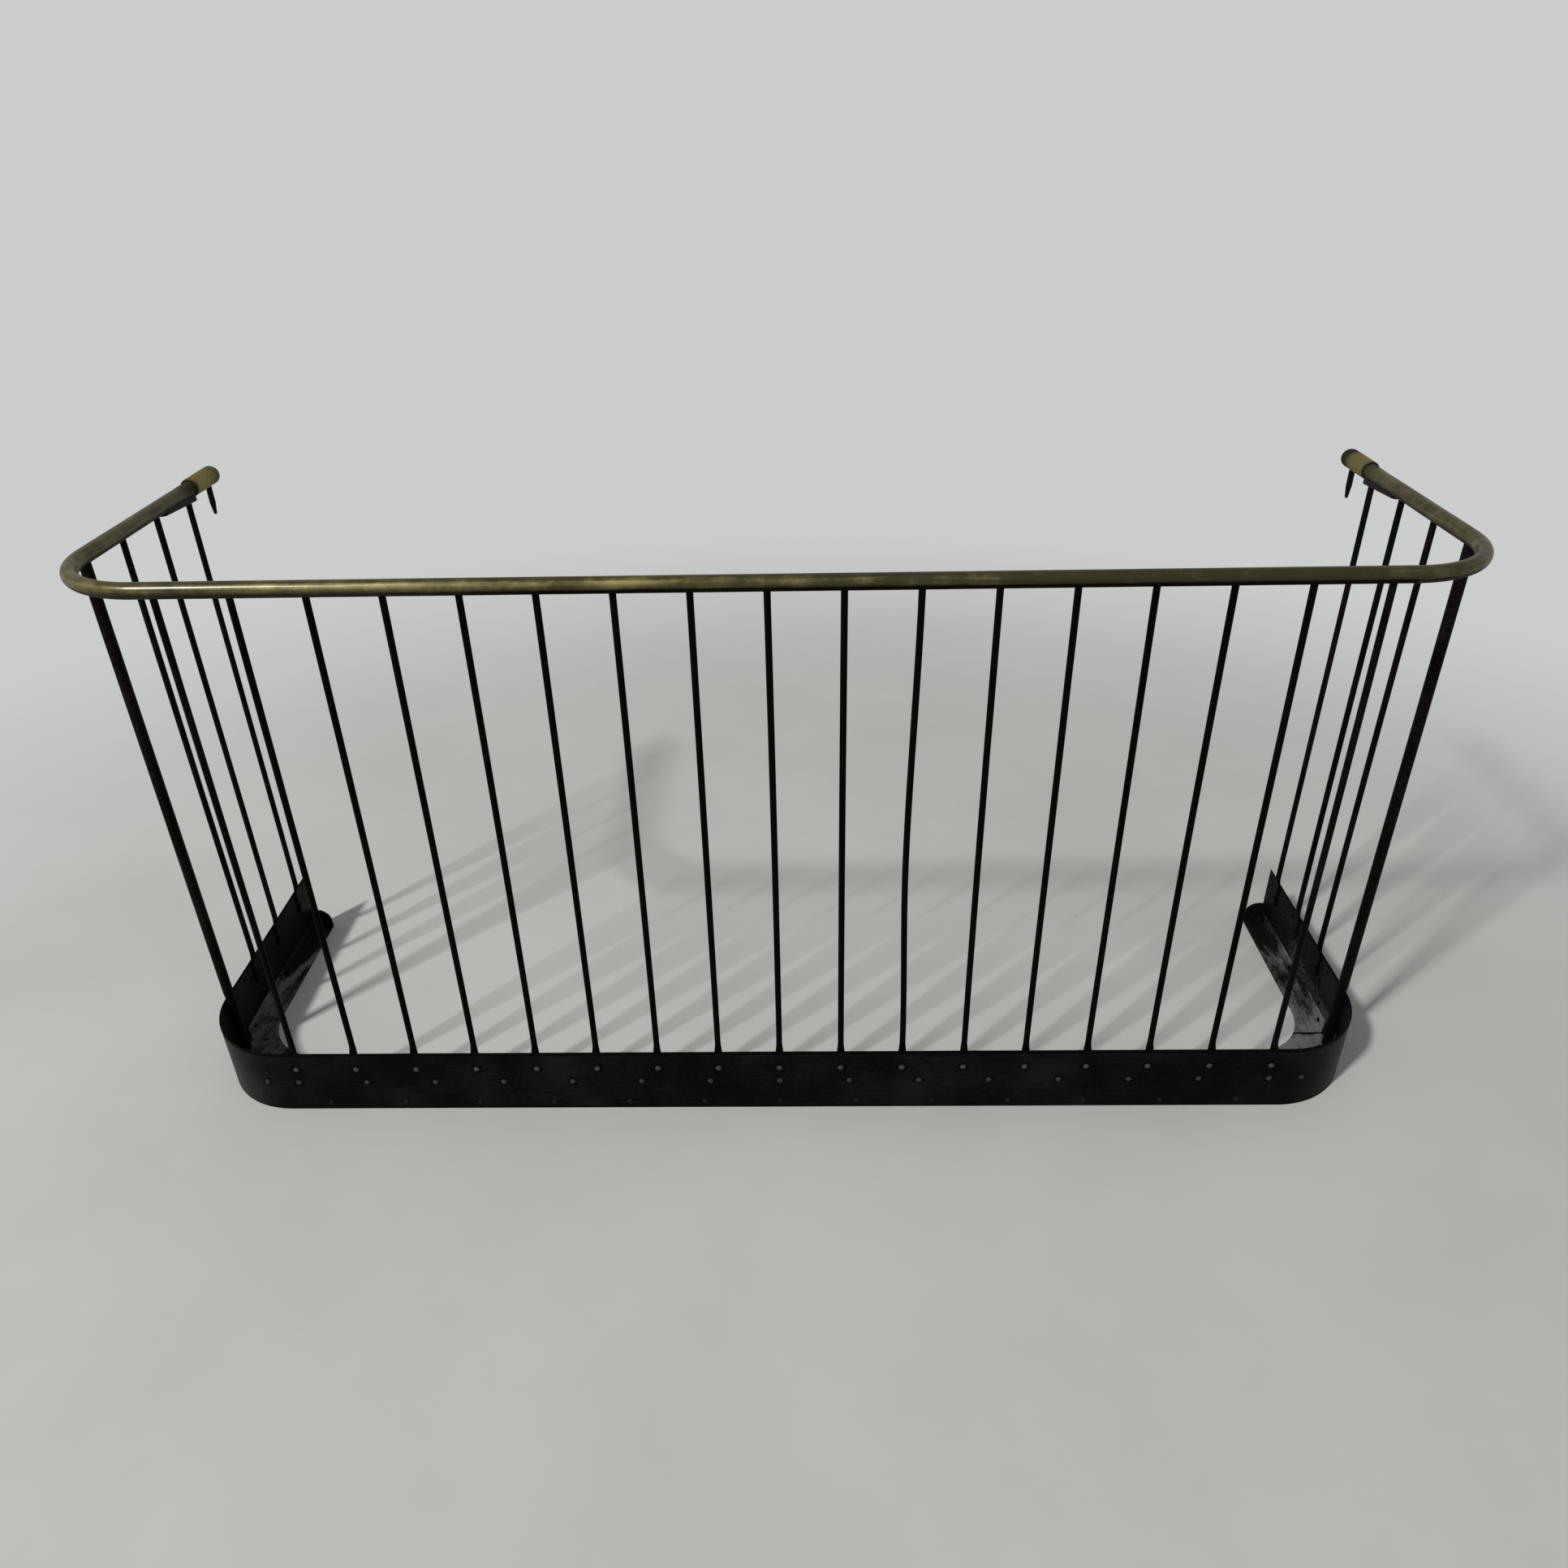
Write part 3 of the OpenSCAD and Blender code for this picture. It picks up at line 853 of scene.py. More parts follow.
@dataclass(frozen=True)
class RubbedPlate:
    """Floor plate whose black paint is trodden and scrubbed down to grey.

    Attributes:
        name: The material's name.
        paint: Colour of what is left of the paint.
        bare_and_highlit: Colour of the scrubbed metal and ash, which also paints a highlight along the left
            flange.
        rust: Colour of the rust in it.
        rough: Roughness of the paint.
        gloss: Specular level.
        field: The noise of its large worn fields.
        streak: The noise of its streaks.
        streaked: How the streaks are drawn out, as factors of X, Y and Z.
        mottle: The noise of its fine mottling.
        rusting: The noise of its rust.
        relief: Depth of its relief, in metres.
    """

    name: str
    paint: Colour
    bare_and_highlit: Colour
    rust: Colour
    rough: float
    gloss: float = 0.08
    field: Noise = Noise(16.0, 5.0, 0.65)
    streak: Noise = Noise(150.0, 4.0, 0.6)
    streaked: tuple[float, float, float] = (1.0, 0.16, 1.0)
    mottle: Noise = Noise(330.0, 6.0, 0.75)
    rusting: Noise = Noise(70.0, 6.0, 0.7)
    relief: float = 0.16 * MM

    def material(self) -> bpy.types.Material:
        """Makes the material: the rub mask with worn fields, broken up by streaks and mottling.

        Returns:
            The material.
        """
        bench = Bench(self.name)
        field = bench.noise(bench.place, self.field)
        streak = bench.noise(bench.stretched(bench.place, self.streaked), self.streak)
        mottle = bench.noise(bench.place, self.mottle)
        level = bench.weigh((field, 0.5), (streak, 0.35), (mottle, 0.4), (bench.rub, 0.3))
        # Scrubbed, and along the left flange a painted highlight, from the rub mask.
        scrubbed = bench.span(level, 0.68, 0.9)
        colour = bench.blend(scrubbed, self.paint, self.bare_and_highlit)
        rusty = bench.span(bench.noise(bench.place, self.rusting), 0.6, 0.72)
        colour = bench.blend(bench.math("MULTIPLY", rusty, 0.55), colour, self.rust)
        rough = bench.math("ADD", bench.weigh((scrubbed, 0.2), (mottle, 0.12)), self.rough)
        bench.relief(bench.weigh((scrubbed, -0.5), (mottle, 0.5), (streak, 0.3)), self.relief)
        return bench.finish(colour, 0.0, rough, self.gloss)


# On the rail the bright colour also paints highlights where the rub mask carries them, and the grime colour
# paints shade along the underside.
RAIL_BRASS = AgedBrass(
    "rail_brass", bright_and_highlit=(0.17, 0.146, 0.052), tarnish=(0.031, 0.0262, 0.0052),
    grime_and_shade=(0.0035, 0.0028, 0.0018), age=0.48, rough=0.62, coat=0.5, coat_rough=0.25,
    edge=(0.85, 0.74, 0.58),
)
# On the caps the grime colour also paints shade over their rear.
CAP_BRASS = AgedBrass(
    "cap_brass", bright_and_highlit=(0.19, 0.168, 0.070), tarnish=(0.108, 0.094, 0.032),
    grime_and_shade=(0.012, 0.010, 0.007), age=0.34, rough=0.52, coat=0.0, coat_rough=0.3,
    edge=(0.85, 0.76, 0.55),
)
# The rods' rubbed colour paints a sheen on the corner stays and from the end rods of the front outwards.
ROD_PAINT = BlackPaint(
    "rod_black", paint=(0.0012, 0.0011, 0.0011), haze=(0.0050, 0.0044, 0.0041), haze_level=0.3,
    rust=(0.010, 0.0075, 0.006), rust_level=0.1, rubbed_and_sheen=(0.017, 0.0140, 0.0132), patchy=0.9,
    rough=0.5, gloss=0.02, sheen=0.03, brush=Brush.UP,
)
# The kerb's near-black rust colour also paints shade at the sheet's foot and top edge, and its rubbed colour
# paints a sheen on the outside of its bends.
KERB_PAINT = BlackPaint(
    "kerb_black", paint=(0.0009, 0.0012, 0.0018), haze=(0.0085, 0.0098, 0.0112), haze_level=0.75,
    rust=(0.0011, 0.0009, 0.0008), rust_level=0.5, rubbed_and_sheen=(0.070, 0.069, 0.063), patchy=0.6,
    rough=0.46, gloss=0.03, sheen=0.06, brush=Brush.ALONG,
)
STRAP_PAINT = BlackPaint(
    "strap_black", paint=(0.0018, 0.0018, 0.0020), haze=(0.007, 0.0065, 0.006), haze_level=0.5,
    rust=(0.014, 0.009, 0.007), rust_level=0.3, rubbed_and_sheen=(0.070, 0.069, 0.063), patchy=0.6,
    rough=0.5, gloss=0.04, sheen=0.1, brush=Brush.ALONG, ashes=0.042,
)
# The rivets' rubbed colour is partly a painted highlight on their heads.
RIVET_PAINT = BlackPaint(
    "rivet_black", paint=(0.0012, 0.0013, 0.0016), haze=(0.003, 0.003, 0.0035), haze_level=0.5,
    rust=(0.02, 0.018, 0.016), rust_level=0.0, rubbed_and_sheen=(0.050, 0.052, 0.053), patchy=0.15,
    rough=0.5, gloss=0.03, sheen=0.03, brush=Brush.NONE,
)
PIN_PAINT = BlackPaint(
    "pin_iron", paint=(0.0015, 0.0014, 0.0013), haze=(0.007, 0.006, 0.0055), haze_level=0.4,
    rust=(0.016, 0.010, 0.007), rust_level=0.4, rubbed_and_sheen=(0.02, 0.016, 0.015), patchy=0.5,
    rough=0.5, gloss=0.05, sheen=0.08, brush=Brush.UP,
)
BRACKET_PAINT = BlackPaint(
    "bracket_iron", paint=(0.0045, 0.0035, 0.0028), haze=(0.012, 0.009, 0.007), haze_level=0.3,
    rust=(0.016, 0.010, 0.007), rust_level=0.3, rubbed_and_sheen=(0.02, 0.016, 0.013), patchy=0.5,
    rough=0.5, gloss=0.06, sheen=0.08, brush=Brush.NONE,
)
BAR_IRON = BlackPaint(
    "bar_iron", paint=(0.12, 0.115, 0.11), haze=(0.2, 0.19, 0.18), haze_level=0.7,
    rust=(0.10, 0.045, 0.02), rust_level=0.9, rubbed_and_sheen=(0.2, 0.19, 0.18), patchy=0.5,
    rough=0.5, gloss=0.5, sheen=0.5, brush=Brush.ALONG,
)
# The plate's bare colour also paints a highlight along the left flange.
PLATE_PAINT = RubbedPlate(
    "plate_worn", paint=(0.0030, 0.0031, 0.0034), bare_and_highlit=(0.125, 0.123, 0.116),
    rust=(0.020, 0.015, 0.012), rough=0.5,
)

FINISHES: dict[Slot, AgedBrass | BlackPaint | RubbedPlate] = {
    Slot.RAIL: RAIL_BRASS,
    Slot.CAP: CAP_BRASS,
    Slot.BAR: BAR_IRON,
    Slot.PIN: PIN_PAINT,
    Slot.BRACKET: BRACKET_PAINT,
    Slot.ROD: ROD_PAINT,
    Slot.KERB: KERB_PAINT,
    Slot.PLATE: PLATE_PAINT,
    Slot.STRAP: STRAP_PAINT,
    Slot.RIVET: RIVET_PAINT,
}


# ---------------------------------------------------------------- making pieces


class Workshop:
    """Turns patches into pieces, and gives every piece and CAD node its finish."""

    def __init__(self) -> None:
        """Makes one material for each slot."""
        self.materials = {slot: finish.material() for slot, finish in FINISHES.items()}

    def dress(self, node: str, slot: Slot) -> None:
        """Gives a CAD node, which keeps its mesh, a finish.

        Args:
            node: The node's name.
            slot: The record's material slot.
        """
        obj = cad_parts[node]
        obj.data.materials.clear()
        obj.data.materials.append(self.materials[slot])
        log.info("%s keeps its CAD mesh", node)

    def make(self, name: str, patches: list[Patch], slot: Slot, *nodes: str) -> None:
        """Makes one piece of some patches, in place of some CAD nodes.

        Args:
            name: The piece's name.
            patches: Its surfaces, in place. Edges that meet are merged.
            slot: The record's material slot.
            nodes: The CAD nodes that it stands for.
        """
        mesh = self.mesh(name, patches)
        obj = bpy.data.objects.new(name, mesh)
        bpy.context.scene.collection.objects.link(obj)
        mesh.materials.append(self.materials[slot])
        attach(obj, "root")
        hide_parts(*nodes)
        log.info("%s: %d faces, in place of %s", name, len(mesh.polygons), ", ".join(nodes))

    def mesh(self, title: str, patches: list[Patch]) -> bpy.types.Mesh:
        """Writes the patches' grids as quads, merges what meets and turns the faces outwards.

        Args:
            title: The mesh's name.
            patches: The patches.

        Returns:
            The mesh, with UV and the two masks as attributes of its points.
        """
        points, quads, uvs = [], [], []
        base = 0
        for patch in patches:
            corners, uv = patch.quads()
            quads.append(corners + base)
            uvs.append(uv)
            points.append(patch.points.reshape(-1, 3))
            base += len(points[-1])
        mesh = bpy.data.meshes.new(title)
        all_quads = np.concatenate(quads).astype(np.int32)
        mesh.vertices.add(base)
        mesh.vertices.foreach_set("co", np.concatenate(points).ravel().astype(np.float32))
        mesh.loops.add(all_quads.size)
        mesh.loops.foreach_set("vertex_index", all_quads.ravel())
        mesh.polygons.add(len(all_quads))
        mesh.polygons.foreach_set("loop_start", np.arange(0, all_quads.size, 4, dtype=np.int32))
        mesh.update(calc_edges=True)
        layer = mesh.uv_layers.new(name="UVMap")
        layer.data.foreach_set("uv", np.concatenate(uvs).ravel().astype(np.float32))
        for name in ("wear_and_shade", "rub"):
            values = np.concatenate([patch.mask(name) for patch in patches])
            mask = mesh.attributes.new(name, "FLOAT", "POINT")
            mask.data.foreach_set("value", values.astype(np.float32))
        self.close(mesh)
        return mesh

    @staticmethod
    def close(mesh: bpy.types.Mesh) -> None:
        """Merges doubles, drops faces without area, turns faces outwards and shades them smooth.

        Args:
            mesh: The mesh, which it changes.
        """
        work = bmesh.new()
        work.from_mesh(mesh)
        bmesh.ops.remove_doubles(work, verts=work.verts, dist=MERGE_DISTANCE)
        bmesh.ops.dissolve_degenerate(work, dist=MERGE_DISTANCE, edges=work.edges)
        bmesh.ops.recalc_face_normals(work, faces=work.faces)
        work.to_mesh(mesh)
        work.free()
        mesh.shade_smooth()
        mesh.set_sharp_from_angle(angle=SHARP_ANGLE)


# ---------------------------------------------------------------- top rail


@dataclass(frozen=True)
class TopRail:
    """The bent brass tube, its cast caps, their wall pins and the brackets under its ends.

    Attributes:
        layout: The fender's layout.
        wall: Thickness of the tube's wall.
        step: Step along the tube's straights. Round its bends it is half of that.
        around: How many points go round the tube.
        flattening: How much the bends' inner and outer sides are flattened.
        bend_fade: How far before a bend the flattening starts, and how far in it is full.
        dents: Depth of the tube's dents.
        grime_reach: Reach of the dirt round a rod.
        beside_cap: From the tube's end, where the dirt beside a cap starts and stops to fade.
        bore_gap: Gap between the tube and a hole for it.
        cap_edge: Round of a cap's front edge.
        cap_belly: How much thinner than its middle a cap is at its ends.
        pin_tip: Radius of a pin's tip.
        pin_taper: Length of a pin's taper.
        pin_tenon: Radius and length of a pin's tenon.
        nose: How far a bracket's nose reaches under the tube.
        bracket_edge: Round of a bracket's lower edges.
        handled_and_highlit: Place along the plan, reach and amount of each brighter spot: polish by hands,
            and a painted highlight.
    """

    layout: Layout
    wall: float = 1.5 * MM
    step: float = 4 * MM
    around: int = 48
    flattening: float = 0.30 * MM
    bend_fade: tuple[float, float] = (12 * MM, 18 * MM)
    dents: float = 0.12 * MM
    grime_reach: float = 7 * MM
    beside_cap: tuple[float, float] = (35 * MM, 90 * MM)
    bore_gap: float = 0.1 * MM
    cap_edge: float = 1.5 * MM
    cap_belly: float = 0.25 * MM
    pin_tip: float = 2.25 * MM
    pin_taper: float = 15.5 * MM
    pin_tenon: tuple[float, float] = (3 * MM, 9.3 * MM)
    nose: float = 2.5 * MM
    bracket_edge: float = 2 * MM
    handled_and_highlit: tuple[tuple[float, float, float], ...] = (
        (-0.46, 0.27, 0.32), (-0.405, 0.03, 0.14), (-0.155, 0.03, 0.34), (0.03, 0.2, 0.14), (0.72, 0.12, 0.1),
    )

    def build(self, shop: Workshop) -> None:
        """Makes all of the rail's pieces.

        Args:
            shop: The workshop.
        """
        shop.make("rail_tube", self.tube(), Slot.RAIL, "top_rail")
        shop.dress("rail_core_bar", Slot.BAR)
        for side in Side:
            name = side.name.lower()
            shop.make(f"cap_{name}", [self.cap(side)], Slot.CAP, f"rail_cap_{name}")
            shop.make(f"pin_{name}", [self.pin(side)], Slot.PIN, f"wall_pin_{name}")
            shop.make(f"bracket_{name}", self.bracket(side), Slot.BRACKET, f"rail_bracket_{name}")
        shop.dress("bracket_screws", Slot.BRACKET)

    def tube(self) -> list[Patch]:
        """The tube's wall, carried along the plan.

        A point at distance s and angle v lies r * cos(v) out of the line and r * sin(v) above it.
        r is the tube's radius, less a flattening of the bends' inner and outer sides, which grows
        with the square of cos(v), and less shallow dents.

        Returns:
            The outer and inner skins and the two end faces.
        """
        plan, layout = self.layout.plan, self.layout
        end = plan.reach(layout.tube_end)
        s = plan.stations(-end, end, self.step, self.step / 2)[:, None]
        v = np.linspace(0, 2 * math.pi, self.around, endpoint=False)[None]
        before, inside = self.bend_fade
        in_bend = smooth_step(np.abs(s), plan.run - before, plan.run + inside)
        in_bend = in_bend * (1 - smooth_step(np.abs(s), plan.bend_end - inside, plan.bend_end + before))
        dent = self.dents * (0.5 + 0.5 * ripple(s, v * 0.02, 0.07, seed=4))
        outer = layout.rail_r - self.flattening * in_bend * np.cos(v) ** 2 - dent
        inner = layout.rail_r - self.wall + 0 * outer
        skin = [plan.place(s, r * np.cos(v), layout.rail_z + r * np.sin(v)) for r in (outer, inner)]
        return [
            Patch(skin[0], self.grime_and_shade(s, v), self.rubbing(s, v)),
            Patch(skin[1][:, ::-1]),
            *(Patch(np.stack([skin[0][row], skin[1][row]])) for row in (0, -1)),
        ]

    def grime_and_shade(self, s: Array, v: Array) -> Array:
        """Dirt where the rods meet the rail and beside its caps, and dirt and painted shade along its
        underside.

        The dirt round a rod is e to the power of minus the square of the distance to it, in
        reaches.

        Args:
            s: Distances along the plan.
            v: Angles round the tube, from the outside up.

        Returns:
            The mask.
        """
        plan, layout = self.layout.plan, self.layout
        near = np.zeros(np.broadcast(s, v).shape)
        around = layout.rail_r * np.cos(v)
        under = smooth_step(-np.sin(v), 0.45, 0.85)
        for place in layout.rod_places().values():
            away = np.hypot(s - place, around) / self.grime_reach
            near = np.maximum(near, np.exp(-(away ** 2)) * (under > 0))
        # Darker along the underside: dirt, and painted shade on the side turned from the lamp.
        below = smooth_step(-np.sin(v) + 0.06 * ripple(s, v * 0.02, 0.05, seed=9), 0.0, 0.3)
        below = below * (0.6 + 0.35 * smooth_step(s, -0.45, -0.2) * (np.abs(s) < plan.run))
        from_end = plan.reach(layout.tube_end) - np.abs(s)
        beside = 1 - smooth_step(from_end, *self.beside_cap)
        return np.clip(np.maximum(near * under, np.maximum(below, 0.6 * beside)), 0, 1)

    def rubbing(self, s: Array, v: Array) -> Array:
        """Where the brass is brighter: polish by hands and painted highlights, in a few soft places on a band
        below its top, and from the bends back.

        Each place is e to the power of minus the square of the distance to it, in reaches.

        Args:
            s: Distances along the plan.
            v: Angles round the tube, from the outside up.

        Returns:
            The mask.
        """
        plan = self.layout.plan
        # The lighter band lies a little below the top, where the lamp's highlight falls, and fades on the
        # very top: a painted highlight.
        highlight_band = smooth_step(np.sin(v), -0.5, 0.3) * (1 - 0.7 * smooth_step(np.sin(v), 0.65, 0.95))
        level = 0.12 * smooth_step(np.abs(s), plan.run, plan.bend_end) + 0 * v
        for place, reach, amount in self.handled_and_highlit:
            level = level + amount * np.exp(-(((s - place) / reach) ** 2)) * highlight_band
        return np.clip(level, 0, 1)

    def cap(self, side: Side) -> Patch:
        """A turned shell: socket, front face, rounded edge, slightly bellied body and round tip.

        Args:
            side: The cap's side.

        Returns:
            The patch. Its wear mask is the dirt in its socket and round its front, and dirt and painted shade
            over its rear.
        """
        low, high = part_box(f"rail_cap_{side.name.lower()}")
        radius = (high.x - low.x) / 2
        length = high.y - low.y
        bore = self.layout.rail_r + self.bore_gap
        depth = self.layout.tube_end - low.y + self.bore_gap
        edge = self.cap_edge
        body = np.linspace(edge, length - radius, 12)[1:-1]
        belly = radius - self.cap_belly * (1 - np.sin(math.pi * body / length))
        tip = arc((0, length - radius), radius, 0, 90, 16)
        socket = [[0, depth], [bore, depth], [bore, edge / 2], [bore + edge / 4, 0], [radius - edge, 0]]
        profile = np.concatenate([
            socket,
            arc((radius - edge, edge), edge, -90, 0, 5)[1:] - [self.cap_belly, 0],
            np.stack([belly, body], -1),
            tip,
        ])
        profile[-1, 0] = 0
        axis = Axis(
            np.array([side.value * self.layout.plan.half_width, low.y, self.layout.rail_z]),
            np.array([1.0, 0, 0]), np.array([0, 0, 1.0]), np.array([0, 1.0, 0]),
        )
        patch = lathe(axis, profile, 56, uneven=0.012, seed=11 + side.value)
        height = profile[:, 1:] + 0 * patch.points[..., 0]
        # Darker over the rear, most on the right cap: dirt, and painted shade.
        patchy = height + 0.12 * length * ripple(patch.points[..., 0], patch.points[..., 2], 0.02, seed=41)
        start, amount = (0.35, 0.95) if side is Side.RIGHT else (0.6, 0.6)
        rear = amount * smooth_step(patchy, start * length, 0.75 * length)
        rim = 1 - smooth_step(height, edge * 0.6, edge * 2.2)
        in_socket = (np.arange(len(profile)) < len(socket))[:, None]
        patch.wear_and_shade = np.maximum(rear, np.maximum(0.8 * rim, in_socket))
        patch.rub = 0.35 * (1 - smooth_step(height, 0.3 * length, 0.6 * length))
        return patch

    def pin(self, side: Side) -> Patch:
        """A forged pin: tenon, shoulder, round shank, long taper and round tip.

        Args:
            side: The pin's side.

        Returns:
            The patch.
        """
        low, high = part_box(f"wall_pin_{side.name.lower()}")
        radius = (high.x - low.x) / 2
        height, taper = high.z - low.z, self.pin_taper
        tenon_radius, tenon = self.pin_tenon
        tip = arc((0, self.pin_tip), self.pin_tip, -90, -8, 7)
        profile = np.concatenate([
            tip,
            [[radius - 0.5 * MM, taper - 3 * MM], [radius - 0.1 * MM, taper]],
            np.stack([np.full(6, radius), np.linspace(taper + 1.5 * MM, height - tenon, 6)], -1),
            [[tenon_radius, height - tenon], [tenon_radius, height], [0, height]],
        ])
        profile[0, 0] = 0
        axis = Axis(
            np.array([(low.x + high.x) / 2, (low.y + high.y) / 2, low.z]),
            np.array([1.0, 0, 0]), np.array([0, 1.0, 0]), np.array([0, 0, 1.0]),
        )
        return lathe(axis, profile, 32, uneven=0.03, seed=21 + side.value)

    def bracket(self, side: Side) -> list[Patch]:
        """A wedge that saddles the tube, with a rounded nose and rounded lower edges.

        Its section at y is a ring: round lower corners at the wedge's height there, and on top the
        circle of the tube, cut off by the flat lands beside it.

        Args:
            side: The bracket's side.

        Returns:
            The patches.
        """
        low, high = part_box(f"rail_bracket_{side.name.lower()}")
        half = (high.x - low.x) / 2
        bore = self.layout.rail_r + self.bore_gap
        rows = low.y + (high.y - low.y) * np.linspace(0, 1, 30) ** 1.4
        share = ((rows - low.y) / (high.y - low.y))[:, None]
        bottom = self.layout.rail_z - self.layout.rail_r - self.nose
        bottom = bottom + (low.z - bottom) * share
        from_nose = np.clip(rows - low.y, 0, half)[:, None]
        width = half * np.sqrt(np.clip(1 - (1 - from_nose / half) ** 2, 0.02, 1))
        x = np.linspace(-1, 1, 17)[None] * width
        saddle = np.minimum(high.z, self.layout.rail_z - np.sqrt(bore ** 2 - x ** 2))
        edge = np.minimum(self.bracket_edge, width * 0.4)
        turn = np.radians(np.linspace(0, 90, 5))[None]
        left = [-width + edge * (1 - np.sin(turn)), bottom + edge * (1 - np.cos(turn))]
        right = [width - edge * (1 - np.sin(turn)), bottom + edge * (1 - np.cos(turn))]
        across = np.concatenate([left[0][:, ::-1], right[0], x[:, ::-1]], 1)
        up = np.concatenate([left[1][:, ::-1], right[1], saddle[:, ::-1]], 1)
        centre = side.value * self.layout.plan.half_width
        y = np.broadcast_to(rows[:, None], across.shape)
        return closed_sweep(np.stack([centre + across, y, up], -1))


# ---------------------------------------------------------------- uprights


@dataclass(frozen=True)
class Tenon:
    """The turned-down top of a rod, riveted over the flat bar inside the rail.

    Attributes:
        radius: Its radius.
        top: Height of the bar's top, where its head starts.
        head_radius: Radius of its head.
        head_height: Height of its head.
        head_edge: How far the head's edge is rounded off.
    """

    radius: float = 2.5 * MM
    top: float = 759.85 * MM
    head_radius: float = 3.5 * MM
    head_height: float = 1.2 * MM
    head_edge: float = 0.5 * MM

    def rings(self) -> list[tuple[float, float]]:
        """The rings above the rod's shoulder.

        Returns:
            The radius and the height of each.
        """
        tip = self.top + self.head_height
        return [
            (self.radius, self.top),
            (self.head_radius, self.top),
            (self.head_radius, tip - self.head_edge),
            (self.head_radius * 0.7, tip),
            (0.0, tip),
        ]


